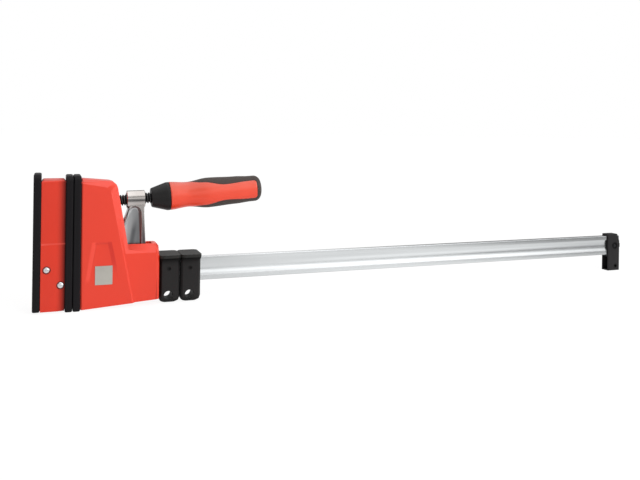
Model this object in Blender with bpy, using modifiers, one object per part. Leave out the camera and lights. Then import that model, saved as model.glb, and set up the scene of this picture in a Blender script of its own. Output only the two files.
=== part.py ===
"""Parallel bar clamp with a 600 mm opening.

A profiled rail carries a riveted fixed jaw, a sliding jaw with its slide arm and spindle,
two loose rail supports and an end foot. Metres, +Z up, the rail along X. The clamp stands on
the lower ends of its pressure caps and of its foot, and the origin lies under its middle.
"""
import math

import bmesh
import bpy
from mathutils import Matrix, Vector

# Clearances between pieces
fit_gap = 0.0003
rail_gap = 0.0004
cut_overrun = 0.004

# Rail
rail_height = 0.0290
rail_thickness = 0.0090
rail_underside_z = 0.0245
rail_end_x = 0.8090
rail_edge_chamfer = 0.0006
groove_width = 0.0174
groove_depth = 0.0020

# Pressure caps, three alike
cap_depth = 0.0082
cap_width = 0.0430
cap_height = 0.1556
cap_face_thickness = 0.0032
cap_rim_thickness = 0.0030
cap_sole_thickness = 0.0011
cap_edge_radius = 0.0016
cap_end_chamfer = 0.0045
cap_fork_gap = 0.0006
outer_cap_lift = 0.0020
cap_sharp_angle = 40

# Fixed jaw; the jaws meet at the closed face
closed_face_x = -0.0012
fixed_jaw_length = 0.0428
jaw_width = 0.0400
jaw_top_z = 0.1508
jaw_bottom_z = 0.0022
jaw_edge_radius = 0.0028
housing_wall = 0.0028
crease_z = 0.0790
crease_step = 0.0009
crease_rise = 0.0018
neck_lengths = (0.0075, 0.0032)
neck_depths = (0.0008, 0.0024)
fixed_core_width = 0.0160
fixed_core_rise = 0.0110
core_rib_width = 0.0040
rivet_shank_diameter = 0.0050
rivet_head_diameter = 0.0073
rivet_head_height = 0.0016
rivet_recess_diameter = 0.0092
rivet_recess_depth = 0.0014
rivet_boss_diameter = 0.0140
upper_rivet_x = -0.0292
upper_rivet_z = 0.0492
lower_rivet_x = -0.0142
lower_rivet_z = 0.0314

# Sliding jaw: tall part
sliding_top_front_z = 0.1514
sliding_top_rear_z = 0.1480
sliding_shoulder_front_z = 0.1466
sliding_shoulder_rear_z = 0.1412
sliding_top_rear_x = 0.0468
sliding_foot_rear_x = 0.0732
side_face_top_x = 0.0388
side_face_foot_x = 0.0668
back_crown_width = 0.0280
back_corner_radius = 0.0095
side_corner_radius = 0.0065
underside_front_z = 0.0012
underside_rear_z = 0.0074
front_edge_radius = 0.0016

# Sliding jaw: lower rear block
block_width = 0.0340
block_top_z = 0.0731
block_top_width = 0.0190
block_shoulder_z = 0.0632
block_end_radius = 0.0056
block_side_radius = 0.0028
block_end_wall = 0.0081

# Sliding jaw: recessed panel on both sides
panel_top_z = 0.0780
panel_top_front_x = 0.0230
panel_top_rear_x = 0.0408
panel_foot_z = 0.0280
panel_foot_front_x = 0.0152
panel_foot_rear_x = 0.0512
panel_depth = 0.0026
panel_draft = 0.0026
panel_rear_draft = 0.0060

# Sliding jaw: steel plate, guides and brake inside
plate_front_x = 0.0100
plate_thickness = 0.0123
plate_width = 0.0194
plate_foot_z = 0.0090
plate_top_z = 0.1400
plate_edge_radius = 0.0015
guide_collar_wall = 0.0018
rear_guide_length = 0.0050
brake_shoe_length = 0.0090
brake_shoe_height = 0.0048
brake_shoe_width = 0.0080
brake_pocket_wall = 0.0020
brake_spring_rise = 0.0048
brake_spring_thickness = 0.0007
brake_spring_width = 0.0066

# Spindle axis, tilted up towards the handle
axis_x = 0.0699
axis_z = 0.1258
axis_tilt = math.radians(4.2)
spindle_diameter = 0.0130
spindle_in_handle = 0.0355
journal_diameter = 0.0080
journal_length = 0.0042
socket_diameter = 0.0190
socket_floor = 0.0030
socket_depth = 0.0080
socket_wall = 0.0024
socket_seat_depth = 0.0035
thrust_pad_length = 0.0068
thrust_pad_crown = 0.0014

# Slide arm
boss_diameter = 0.0212
boss_tilt = math.radians(1.2)
boss_length = 0.0213
arm_thickness = 0.0160
arm_rear_offset = 0.0118
arm_neck_offset = 0.0097
arm_neck_drop = 0.0180
arm_hip_z = 0.0700
arm_top_front_offset = 0.0046
arm_knee_offset = 0.0147
arm_knee_drop = 0.0278
arm_foot_offset = 0.0239
arm_front_foot_z = 0.0570
arm_underside_z = 0.0128
arm_edge_radius = 0.0012
arm_foot_radius = 0.0035
arm_window_slack = 0.0009
arm_side_gap = 0.0005
arm_recess_depth = 0.0028
arm_recess_draft = 0.0022
arm_recess_crown_offset = 0.0016
arm_recess_crown_drop = 0.0164
arm_recess_crown_radius = 0.0070
arm_recess_crown_angles = (8, 160)
arm_recess_knee_wall = 0.0018
arm_recess_front_wall = 0.0040
arm_recess_rear_wall = 0.0031
arm_recess_foot_z = 0.0620
arm_slot_gap = 0.0008
arm_slot_top_z = 0.1330
arm_end_clearance = 0.0010
arm_wall_clearance = 0.0022
bite_plate_thickness = 0.0026
nut_wall = 0.0016
nut_inset = 0.0010
arm_travel_to_jaw = 0.0070
arm_travel_to_handle = 0.0050

# Handle, measured along the spindle axis from the boss's middle
ferrule_start = 0.0181
ferrule_nose_radius = 0.0112
ferrule_end = 0.0400
ferrule_rim_radius = 0.01715
ferrule_neck_share = 0.3
ferrule_shoulder_share = 0.86
ferrule_lip_shares = (0.06, 0.16)
grip_waist_at = 0.0620
grip_waist_radius = 0.01535
grip_bulge_at = 0.0880
grip_bulge_radius = 0.0185
grip_taper_at = 0.1220
grip_taper_radius = 0.0173
grip_tail_at = 0.1420
grip_tail_radius = 0.0162
grip_end = 0.1548
grip_end_rounding = 0.0080
grip_neck_radius = 0.0112
inlay_start = 0.0650
inlay_start_half_height = 0.0149
inlay_shoulder_at = 0.0800
inlay_shoulder_half_height = 0.0142
inlay_narrow_at = 0.1080
inlay_narrow_half_height = 0.0098
inlay_wide_at = 0.1380
inlay_wide_half_height = 0.0112
inlay_end = 0.1477
inlay_end_rounding = 0.0030

# Rail supports, two alike
support_plate_length = 0.0250
support_plate_width = 0.0400
support_plate_thickness = 0.0036
support_plate_radius = 0.0060
support_top_z = 0.0590
support_spacing = 0.0253
support_rest_gap = 0.0006
support_body_length = 0.0244
support_body_width = 0.0240
support_foot_z = 0.0008
support_foot_rises = (0.0, 0.0020, 0.0066)
support_foot_insets = (0.0042, 0.0014, 0.0)
support_taper_height = 0.0055
support_edge_chamfer = 0.0028
support_plate_edge = 0.0003
support_hole_diameter = 0.0090
support_hole_offset = -0.0014
support_hole_z = 0.0096
support_dimple_diameter = 0.0030
support_dimple_depth = 0.0012
support_dimple_z = 0.0418

# Foot at the end of the rail
foot_front_x = 0.7855
foot_length = 0.0222
foot_width = 0.0134
foot_height = 0.0566
foot_edge_radius = 0.0006
foot_corner_length = 0.0045
foot_corner_height = 0.0120
foot_wall = 0.0015
foot_hollow_top_z = 0.0218
foot_tongue_height = 0.0060
lock_pin_x = 0.7985
lock_pin_diameter = 0.0050
lock_pin_z = 0.0384
lock_ring_diameter = 0.0108
lock_ring_depth = 0.0007
foot_hole_x = 0.8002
foot_hole_z = 0.0070
foot_hole_diameter = 0.0036
foot_boss_diameter = 0.0072

# Facets, and the tolerances that clean a mesh
round_sides = 24
small_sides = 16
grip_sides = 32
groove_steps = 8
corner_steps = 3
edge_steps = 2
grip_steps = 16
inlay_steps = 14
sharp_angle = 60
weld_distance = 0.000001
flat_angle = math.radians(0.2)

# Places worked out from the sizes
rail_top_z = rail_underside_z + rail_height
rail_middle_z = rail_underside_z + rail_height / 2
outer_face_x = closed_face_x - fixed_jaw_length
sliding_face_x = closed_face_x + fit_gap
cap_seat = cap_face_thickness + fit_gap
rail_start_x = outer_face_x + cap_seat
jaw_body_x = sliding_face_x + cap_depth + fit_gap
nose_half_width = cap_width / 2 - cap_rim_thickness - fit_gap
tunnel_half_width = rail_thickness / 2 + rail_gap
tunnel_low_z = rail_underside_z - rail_gap
tunnel_high_z = rail_top_z + rail_gap
plate_back_x = plate_front_x + plate_thickness
brake_centre_x = plate_back_x + 3 * fit_gap + brake_pocket_wall + brake_shoe_length / 2
arm_rear_x = axis_x + arm_rear_offset
arm_top_front_x = axis_x - arm_top_front_offset
arm_knee_x = axis_x - arm_knee_offset
arm_knee_z = axis_z - arm_knee_drop
arm_front_foot_x = axis_x - arm_foot_offset
arm_slot_front_x = arm_front_foot_x - arm_travel_to_jaw - arm_end_clearance
block_room_end_x = arm_rear_x + arm_travel_to_handle + arm_wall_clearance
block_rear_x = block_room_end_x + block_end_wall
frame_shift = -(outer_face_x + rail_end_x) / 2


def clear_scene():
    for old in list(bpy.data.objects):
        bpy.data.objects.remove(old, do_unlink=True)


def new_collection(name):
    group = bpy.data.collections.new(name)
    bpy.context.scene.collection.children.link(group)
    return group


clear_scene()
parts = new_collection("parallel_clamp")
cutters = new_collection("cutters")


def plastic(name, colour, roughness):
    return material(name, colour, roughness, 0.0)


def material(name, colour, roughness, metallic):
    made = bpy.data.materials.new(name)
    made.use_nodes = True
    shader = made.node_tree.nodes["Principled BSDF"]
    shader.inputs["Base Color"].default_value = (*colour, 1.0)
    shader.inputs["Roughness"].default_value = roughness
    shader.inputs["Metallic"].default_value = metallic
    return made


def empty(name, place=(0, 0, 0), tilt=0.0, parent=None):
    frame = bpy.data.objects.new(name, None)
    frame.location = place
    frame.rotation_euler = (0, -tilt, 0)
    frame.parent = parent
    parts.objects.link(frame)
    return frame


def add(name, mesh, parent, look):
    made = bpy.data.objects.new(name, mesh)
    made.parent = parent
    made.data.materials.append(look)
    parts.objects.link(made)
    return made


def add_cutter(name, mesh, parent):
    made = bpy.data.objects.new(name, mesh)
    made.parent = parent
    made.hide_render = True
    made.display_type = "WIRE"
    cutters.objects.link(made)
    return made


def mesh_of(form, name):
    bmesh.ops.recalc_face_normals(form, faces=form.faces)
    mesh = bpy.data.meshes.new(name)
    form.to_mesh(mesh)
    form.free()
    return mesh


def box_mesh(name, low, high):
    low, high = Vector(low), Vector(high)
    middle = (low + high) / 2
    size = high - low
    form = bmesh.new()
    place = Matrix.Translation(middle) @ Matrix.Diagonal((*size, 1))
    bmesh.ops.create_cube(form, size=1, matrix=place)
    return mesh_of(form, name)


def rod_mesh(name, diameter, start, end, sides=round_sides):
    """A cylinder between two points."""
    start, end = Vector(start), Vector(end)
    turn = (end - start).to_track_quat("Z", "X").to_matrix().to_4x4()
    place = Matrix.Translation((start + end) / 2) @ turn
    form = bmesh.new()
    bmesh.ops.create_cone(form, cap_ends=True, segments=sides, radius1=diameter / 2,
                          radius2=diameter / 2, depth=(end - start).length, matrix=place)
    return mesh_of(form, name)


def slab_mesh(name, outline, low, high, along):
    """A flat outline made solid between low and high, along X or Y.

    Along Y the outline's points are (x, z), and along X they are (y, z).
    """
    curve = bpy.data.curves.new(name, "CURVE")
    curve.dimensions = "2D"
    curve.fill_mode = "BOTH"
    curve.extrude = (high - low) / 2
    line = curve.splines.new("POLY")
    line.points.add(len(outline) - 1)
    line.use_cyclic_u = True
    for point, (a, b) in zip(line.points, outline):
        point.co = (a, b, 0, 1)
    guide = bpy.data.objects.new(name, curve)
    if along == "X":
        guide.rotation_euler = (math.pi / 2, 0, math.pi / 2)
        guide.location.x = (low + high) / 2
    else:
        guide.rotation_euler = (math.pi / 2, 0, 0)
        guide.location.y = (low + high) / 2
    cutters.objects.link(guide)
    bpy.context.view_layer.update()
    seen = guide.evaluated_get(bpy.context.evaluated_depsgraph_get())
    mesh = bpy.data.meshes.new_from_object(seen)
    mesh.transform(guide.matrix_world)
    bpy.data.objects.remove(guide, do_unlink=True)
    form = bmesh.new()
    form.from_mesh(mesh)
    bpy.data.meshes.remove(mesh)
    bmesh.ops.remove_doubles(form, verts=form.verts, dist=weld_distance)
    bmesh.ops.dissolve_limit(form, angle_limit=flat_angle, verts=form.verts, edges=form.edges)
    return mesh_of(form, name)


def hull_mesh(name, points):
    """The tight skin round a few corner points: a box with sloping sides."""
    form = bmesh.new()
    for point in points:
        form.verts.new(point)
    bmesh.ops.convex_hull(form, input=form.verts)
    bmesh.ops.dissolve_limit(form, angle_limit=flat_angle, verts=form.verts, edges=form.edges)
    return mesh_of(form, name)


def turned(name, profile, parent, look=None, sides=round_sides, ring=False, half_step=False):
    """A solid turned round the parent's X axis from points (along, radius).

    A ring's profile closes on itself, and any other starts and ends on the axis. A half step
    sets a bore's corners between those of the solid that it goes through.
    """
    mesh = bpy.data.meshes.new(name)
    corners = [(radius, 0, along) for along, radius in reversed(profile)]
    edges = [(n, n + 1) for n in range(len(corners) - 1)]
    if ring:
        edges.append((len(corners) - 1, 0))
    mesh.from_pydata(corners, edges, [])
    made = add(name, mesh, parent, look) if look else add_cutter(name, mesh, parent)
    made.rotation_mode = "ZYX"
    made.rotation_euler = (0, math.pi / 2, math.pi / sides if half_step else 0)
    spin = made.modifiers.new("turn", "SCREW")
    spin.axis = "Z"
    spin.steps = sides
    spin.render_steps = sides
    spin.use_merge_vertices = True
    spin.merge_threshold = weld_distance
    spin.use_smooth_shade = True
    return made


def combine(target, tool, operation):
    step = target.modifiers.new(tool.name, "BOOLEAN")
    step.operation = operation
    step.solver = "EXACT"
    step.object = tool


def cut(target, tool):
    combine(target, tool, "DIFFERENCE")


def join(target, tool):
    combine(target, tool, "UNION")


def round_edges(made, radius, segments=edge_steps, angle=sharp_angle, weighted=False):
    step = made.modifiers.new("edges", "BEVEL")
    step.width = radius
    step.segments = segments
    step.limit_method = "WEIGHT" if weighted else "ANGLE"
    step.angle_limit = math.radians(angle)
    step.use_clamp_overlap = True


def mark_edges(mesh, share_of):
    """Give each edge its share of the bevel's width, from its two ends."""
    weight = mesh.attributes.new("bevel_weight_edge", "FLOAT", "EDGE")
    for edge in mesh.edges:
        ends = [mesh.vertices[n].co for n in edge.vertices]
        weight.data[edge.index].value = float(share_of(*ends))


def arc(centre, radius, first, last, steps):
    """Points on an arc, angles in degrees, ends included."""
    points = []
    for n in range(steps + 1):
        angle = math.radians(first + (last - first) * n / steps)
        points.append((centre[0] + radius * math.cos(angle), centre[1] + radius * math.sin(angle)))
    return points


def mix(first, last, share):
    return first + (last - first) * share


# Frames: each moving piece hangs on the empty of its body
clamp_frame = empty("clamp_frame", (frame_shift, 0, 0))
rail_body = empty("rail_body", parent=clamp_frame)
jaw_body = empty("sliding_jaw_body", parent=clamp_frame)
arm_body = empty("slide_arm_body", parent=jaw_body)
spindle_axis = empty("spindle_axis", (axis_x, 0, axis_z), axis_tilt, jaw_body)
arm_axis = empty("arm_axis", (axis_x, 0, axis_z), axis_tilt, arm_body)
boss_axis = empty("boss_axis", (axis_x, 0, axis_z), boss_tilt, arm_body)

zinc_steel = material("zinc_plated_steel", (0.62, 0.64, 0.66), 0.32, 1.0)
cast_metal = material("bright_casting", (0.50, 0.51, 0.52), 0.38, 1.0)
dark_steel = material("blackened_steel", (0.025, 0.025, 0.028), 0.38, 0.8)
plain_steel = material("plain_steel", (0.42, 0.43, 0.45), 0.35, 1.0)
red_plastic = plastic("red_moulding", (0.78, 0.065, 0.035), 0.42)
black_plastic = plastic("black_moulding", (0.016, 0.016, 0.018), 0.45)
soft_black = plastic("soft_black_grip", (0.020, 0.019, 0.019), 0.65)
guide_plastic = plastic("guide_plastic", (0.55, 0.54, 0.50), 0.5)


def groove_outline(grow):
    """Cross-section of the rail in (y, z), every face moved outwards by grow."""
    half_y = rail_thickness / 2 + grow
    half_z = rail_height / 2 + grow
    chamfer = rail_edge_chamfer
    half_groove = groove_width / 2 - grow
    sagitta = groove_depth
    radius = (half_groove ** 2 + sagitta ** 2) / (2 * sagitta)
    spread = math.degrees(math.asin(half_groove / radius))
    centre = (half_y + radius - sagitta, rail_middle_z)
    side = [(half_y - chamfer, rail_middle_z + half_z), (half_y, rail_middle_z + half_z - chamfer)]
    side += arc(centre, radius, 180 - spread, 180 + spread, groove_steps)
    side += [(half_y, rail_middle_z - half_z + chamfer), (half_y - chamfer, rail_middle_z - half_z)]
    return side + [(-y, z) for y, z in reversed(side)]


def make_rail():
    rail = add("rail", slab_mesh("rail", groove_outline(0), rail_start_x, rail_end_x, "X"),
               rail_body, zinc_steel)
    holes = {"upper_rivet_hole": (upper_rivet_x, upper_rivet_z, rivet_shank_diameter),
             "lower_rivet_hole": (lower_rivet_x, lower_rivet_z, rivet_shank_diameter),
             "lock_pin_hole": (lock_pin_x, lock_pin_z, lock_pin_diameter)}
    for name, (x, z, diameter) in holes.items():
        reach = rail_thickness
        hole = rod_mesh(name, diameter + 2 * fit_gap, (x, -reach, z), (x, reach, z), small_sides)
        cut(rail, add_cutter(name, hole, rail_body))


def make_cap(name, face_x, towards, parent, lift=0.0):
    """One pressure cap: a tray whose rim grips the jaw's nose, forked round the rail.

    towards is +1 where the pressing face looks along +X, and -1 where it looks along -X. lift
    is how far the cap has been pushed up on its nose.
    """
    back_x = face_x - towards * cap_depth
    half = cap_width / 2
    lean = cap_end_chamfer
    top = lift + cap_height
    outline = [(-half, lift), (half, lift), (half, top - lean), (half - lean, top),
               (lean - half, top), (-half, top - lean)]
    low, high = min(face_x, back_x), max(face_x, back_x)
    cap = add(name, slab_mesh(name, outline, low, high, "X"), parent, black_plastic)
    round_edges(cap, cap_edge_radius, angle=cap_sharp_angle)
    seat_x = face_x - towards * cap_face_thickness
    open_x = back_x - towards * cut_overrun
    seat_half = nose_half_width + fit_gap
    tray = box_mesh(name + "_tray", (min(seat_x, open_x), -seat_half, lift + cap_sole_thickness),
                    (max(seat_x, open_x), seat_half, jaw_top_z - jaw_edge_radius + 2 * fit_gap))
    cut(cap, add_cutter(name + "_tray", tray, parent))
    fork_half = tunnel_half_width + cap_fork_gap
    fork = box_mesh(name + "_fork", (low - cut_overrun, -fork_half, -cut_overrun),
                    (high + cut_overrun, fork_half, tunnel_high_z + cap_fork_gap))
    cut(cap, add_cutter(name + "_fork", fork, parent))


def make_fixed_jaw():
    body_start = outer_face_x + cap_depth + fit_gap
    body_end = closed_face_x - cap_depth - fit_gap
    nose_start = outer_face_x + cap_seat
    nose_end = closed_face_x - cap_seat
    nose_foot = outer_cap_lift + cap_sole_thickness + fit_gap
    half = jaw_width / 2
    proud = half + crease_step
    outline = [(-proud, jaw_bottom_z), (proud, jaw_bottom_z), (proud, crease_z - crease_rise),
               (half, crease_z), (half, jaw_top_z), (-half, jaw_top_z), (-half, crease_z),
               (-proud, crease_z - crease_rise)]
    housing = add("fixed_jaw_housing",
                  slab_mesh("fixed_jaw_housing", outline, body_start, body_end, "X"),
                  rail_body, red_plastic)
    mark_edges(housing.data, lambda a, b: min(a.z, b.z) > jaw_top_z - weld_distance)
    round_edges(housing, jaw_edge_radius, corner_steps, weighted=True)
    for side in (-1, 1):
        neck = hull_mesh("fixed_neck", neck_points(side, body_end))
        cut(housing, add_cutter("fixed_neck", neck, rail_body))
    nose_top = jaw_top_z - jaw_edge_radius + fit_gap
    nose = box_mesh("fixed_nose", (nose_start, -nose_half_width, nose_foot),
                    (nose_end, nose_half_width, nose_top))
    join(housing, add_cutter("fixed_nose", nose, rail_body))

    cavity_start = nose_start + housing_wall
    cavity_end = nose_end - housing_wall
    cavity_half = nose_half_width - housing_wall
    cavity_top = nose_top - housing_wall
    cavity = box_mesh("fixed_cavity", (cavity_start, -cavity_half, nose_foot + housing_wall),
                      (cavity_end, cavity_half, cavity_top))
    core_half = fixed_core_width / 2
    core_seat = core_half + fit_gap
    middle_x = (cavity_start + cavity_end) / 2
    hollow = add_cutter("fixed_cavity", cavity, rail_body)
    for side in (-1, 1):
        rib_ends = sorted((side * (core_seat + fit_gap), side * (half + fit_gap)))
        rib = box_mesh("core_rib", (middle_x - core_rib_width / 2, rib_ends[0], 0),
                       (middle_x + core_rib_width / 2, rib_ends[1], cap_height))
        cut(hollow, add_cutter("core_rib", rib, rail_body))
        for x, z in ((upper_rivet_x, upper_rivet_z), (lower_rivet_x, lower_rivet_z)):
            boss = rod_mesh("rivet_boss", rivet_boss_diameter, (x, side * core_seat, z),
                            (x, side * half, z), small_sides)
            cut(hollow, add_cutter("rivet_boss", boss, rail_body))
    cut(housing, hollow)
    slot = box_mesh("fixed_rail_slot", (nose_start - cut_overrun, -tunnel_half_width, tunnel_low_z),
                    (nose_end + cut_overrun, tunnel_half_width, tunnel_high_z))
    cut(housing, add_cutter("fixed_rail_slot", slot, rail_body))

    core_outline = [(cavity_start + fit_gap, fixed_core_rise), (cavity_end - fit_gap, fixed_core_rise),
                    (cavity_end - fit_gap, cavity_top - fit_gap),
                    (middle_x, cavity_top - fit_gap), (cavity_start + fit_gap, crease_z)]
    core = add("fixed_jaw_core", slab_mesh("fixed_jaw_core", core_outline, -core_half, core_half, "Y"),
               rail_body, cast_metal)
    round_edges(core, plate_edge_radius, 1)
    window = box_mesh("fixed_core_window", (nose_start - cut_overrun, -tunnel_half_width, tunnel_low_z),
                      (nose_end + cut_overrun, tunnel_half_width, tunnel_high_z))
    cut(core, add_cutter("fixed_core_window", window, rail_body))

    for name, x, z in (("jaw_rivet_upper", upper_rivet_x, upper_rivet_z),
                       ("jaw_rivet_lower", lower_rivet_x, lower_rivet_z)):
        make_rivet(name, x, z, proud, housing, core)


def neck_points(side, end):
    """Corners of the wedge that draws the fixed jaw's side in towards its pressure cap."""
    face = side * (jaw_width / 2 + crease_step)
    outside = face + side * cut_overrun
    long_reach, short_reach = neck_lengths
    shallow, deep = neck_depths
    corners = [(end - long_reach, face), (end - short_reach, face - side * shallow),
               (end + cut_overrun, face - side * deep), (end + cut_overrun, outside)]
    return [(x, y, z) for x, y in corners for z in (-cut_overrun, cap_height)]


def make_rivet(name, x, z, half, housing, core):
    """A rivet with a low domed head at both ends, each sunk in its round recess."""
    seat = half - rivet_recess_depth
    head = rivet_head_diameter / 2
    shank = rivet_shank_diameter / 2
    ledge = seat + fit_gap
    top = ledge + rivet_head_height
    rise_shares = ((0.0, 1.0), (0.45, 0.86), (0.8, 0.55), (1.0, 0.0))
    crown = [(mix(ledge, top, up), head * out) for up, out in rise_shares]
    profile = [(-along, radius) for along, radius in reversed(crown)]
    profile += [(-ledge, shank), (ledge, shank)] + crown
    stand = empty(name + "_axis", (x, 0, z), parent=rail_body)
    stand.rotation_euler = (0, 0, math.pi / 2)
    turned(name, profile, stand, plain_steel, small_sides)
    reach = jaw_width
    bore = rod_mesh(name + "_bore", rivet_shank_diameter + 2 * fit_gap, (x, -reach, z), (x, reach, z),
                    small_sides)
    drill = add_cutter(name + "_bore", bore, rail_body)
    cut(housing, drill)
    cut(core, drill)
    for side in (-1, 1):
        ends = sorted((side * seat, side * (half + cut_overrun)))
        pocket = rod_mesh(name + "_recess", rivet_recess_diameter, (x, ends[0], z), (x, ends[1], z))
        cut(housing, add_cutter(name + "_recess", pocket, rail_body))


def tall_section(y, top_front, top_rear_x, top_rear, foot_rear_x, radius):
    """One XZ outline of the sliding jaw's tall part, with a rounded rear corner, as 3-D points."""
    front = jaw_body_x
    back = Vector((foot_rear_x - top_rear_x, -top_rear)).normalized()
    crest = Vector((front - top_rear_x, top_front - top_rear)).normalized()
    corner = Vector((top_rear_x, top_rear))
    opening = back.angle(crest)
    reach = radius / math.tan(opening / 2)
    centre = corner + (back + crest).normalized() * radius / math.sin(opening / 2)
    first, last = corner + crest * reach - centre, corner + back * reach - centre
    start = math.degrees(math.atan2(first.y, first.x))
    end = math.degrees(math.atan2(last.y, last.x))
    points = [(front, underside_front_z), (front, top_front)]
    points += arc(centre, radius, start, end, corner_steps)
    points.append((foot_rear_x, 0))
    return [(x, y, z) for x, z in points]


def tall_part_mesh():
    """Loft of the tall part: its edges draw in towards both sides, more at the back."""
    half = jaw_width / 2
    crown = back_crown_width / 2
    crest = (sliding_top_front_z, sliding_top_rear_x, sliding_top_rear_z, sliding_foot_rear_x,
             back_corner_radius)
    flank = (sliding_shoulder_front_z, side_face_top_x, sliding_shoulder_rear_z, side_face_foot_x,
             side_corner_radius)
    sections = [tall_section(y, *shape) for y, shape in
                ((-half, flank), (-crown, crest), (crown, crest), (half, flank))]
    form = bmesh.new()
    rings = [[form.verts.new(point) for point in section] for section in sections]
    for ring, after in zip(rings, rings[1:]):
        for n in range(len(ring)):
            following = (n + 1) % len(ring)
            form.faces.new((ring[n], ring[following], after[following], after[n]))
    form.faces.new(list(reversed(rings[0])))
    form.faces.new(rings[-1])
    return mesh_of(form, "sliding_jaw_housing")


def side_face_x(z):
    share = (sliding_shoulder_rear_z - z) / sliding_shoulder_rear_z
    return mix(side_face_top_x, side_face_foot_x, share)


def underside_z(x):
    share = (x - jaw_body_x) / (block_rear_x - jaw_body_x)
    return mix(underside_front_z, underside_rear_z, share)


def block_edge_share(first, second):
    """Share of the full rounding on an edge of the rear block: its end only, the top most."""
    if min(first.x, second.x) < block_rear_x - weld_distance or max(first.z, second.z) < weld_distance:
        return 0.0
    if min(first.z, second.z) > block_shoulder_z - weld_distance:
        return 1.0
    return block_side_radius / block_end_radius


def make_sliding_housing():
    housing = add("sliding_jaw_housing", tall_part_mesh(), jaw_body, red_plastic)
    nose_x = sliding_face_x + cap_seat
    nose_top = jaw_top_z - jaw_edge_radius + fit_gap
    nose = box_mesh("sliding_nose", (nose_x, -nose_half_width, cap_sole_thickness + fit_gap),
                    (plate_front_x, nose_half_width, nose_top))
    mark_edges(housing.data, lambda a, b: abs(a.x - jaw_body_x) < weld_distance
               and abs(b.x - jaw_body_x) < weld_distance)
    round_edges(housing, front_edge_radius, weighted=True)
    join(housing, add_cutter("sliding_nose", nose, jaw_body))

    half = block_width / 2
    top_half = block_top_width / 2
    outline = [(-half, 0), (half, 0), (half, block_shoulder_z), (top_half, block_top_z),
               (-top_half, block_top_z), (-half, block_shoulder_z)]
    block_start = side_face_top_x
    block_mesh = slab_mesh("rear_block", outline, block_start, block_rear_x, "X")
    mark_edges(block_mesh, block_edge_share)
    block = add_cutter("rear_block", block_mesh, jaw_body)
    round_edges(block, block_end_radius, corner_steps, weighted=True)
    join(housing, block)

    reach = jaw_width
    slope_end = block_rear_x + cut_overrun
    slope_start = nose_x - cut_overrun
    below = [(jaw_body_x, underside_front_z), (slope_end, underside_z(slope_end)),
             (slope_end, -cut_overrun), (slope_start, -cut_overrun), (slope_start, underside_front_z)]
    slope = slab_mesh("underside_slope", below, -reach, reach, "Y")
    cut(housing, add_cutter("underside_slope", slope, jaw_body))

    for side in (-1, 1):
        cut(housing, add_cutter("side_panel", panel_mesh(side), jaw_body))
    hollow_sliding_housing(housing, nose_x)


def panel_mesh(side):
    """Tapering recess in the side: deepest at its top, running out at its foot."""
    face = side * jaw_width / 2
    outside = face + side * cut_overrun
    floor = face - side * panel_depth
    corners = [(panel_top_front_x, panel_top_z), (panel_top_rear_x, panel_top_z),
               (panel_foot_rear_x, panel_foot_z), (panel_foot_front_x, panel_foot_z)]
    points = [(x, face, z) for x, z in corners] + [(x, outside, z) for x, z in corners]
    points += [(panel_top_front_x + panel_draft, floor, panel_top_z - panel_draft),
               (panel_top_rear_x - panel_rear_draft, floor, panel_top_z - panel_draft)]
    return hull_mesh("side_panel", points)


def hollow_sliding_housing(housing, nose_x):
    plate_seat = plate_width / 2 + fit_gap
    pocket = box_mesh("plate_pocket", (plate_front_x - fit_gap, -plate_seat, plate_foot_z - fit_gap),
                      (plate_back_x + cut_overrun, plate_seat, plate_top_z + fit_gap))
    cut(housing, add_cutter("plate_pocket", pocket, jaw_body))

    room_half = jaw_width / 2 - panel_depth - housing_wall
    roof = sliding_shoulder_rear_z - housing_wall
    floor_front = underside_z(plate_back_x) + housing_wall
    room = [(plate_back_x + fit_gap, floor_front),
            (side_face_x(floor_front) - housing_wall, underside_z(side_face_foot_x) + housing_wall),
            (side_face_x(roof) - housing_wall, roof), (plate_back_x + fit_gap, roof)]
    tall_room = slab_mesh("tall_room", room, -room_half, room_half, "Y")
    cut(housing, add_cutter("tall_room", tall_room, jaw_body))

    block_half = block_width / 2 - housing_wall
    block_floor = underside_rear_z + housing_wall
    arm_slot_half = arm_thickness / 2 + arm_slot_gap
    ceiling = block_shoulder_z - housing_wall
    ridge = block_top_z - 2 * housing_wall
    outline = [(-block_half, block_floor), (block_half, block_floor), (block_half, ceiling),
               (arm_slot_half, ridge), (-arm_slot_half, ridge), (-block_half, ceiling)]
    block_room = slab_mesh("block_room", outline, side_face_top_x, block_room_end_x, "X")
    cut(housing, add_cutter("block_room", block_room, jaw_body))

    slot = box_mesh("arm_slot", (arm_slot_front_x, -arm_slot_half, block_shoulder_z - housing_wall),
                    (block_room_end_x, arm_slot_half, arm_slot_top_z))
    cut(housing, add_cutter("arm_slot", slot, jaw_body))

    make_brake(housing)
    tunnel = box_mesh("rail_tunnel", (nose_x - cut_overrun, -tunnel_half_width, tunnel_low_z),
                      (block_rear_x + cut_overrun, tunnel_half_width, tunnel_high_z))
    cut(housing, add_cutter("rail_tunnel", tunnel, jaw_body))
    collar = guide_collar_wall + fit_gap
    guide_end_x = block_room_end_x + rear_guide_length
    seat = box_mesh("rear_guide_seat",
                    (block_room_end_x - cut_overrun, -tunnel_half_width - collar, tunnel_low_z - collar),
                    (guide_end_x, tunnel_half_width + collar, tunnel_high_z + collar))
    cut(housing, add_cutter("rear_guide_seat", seat, jaw_body))
    make_guide("rear_rail_guide", block_room_end_x, guide_end_x - fit_gap)


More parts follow.
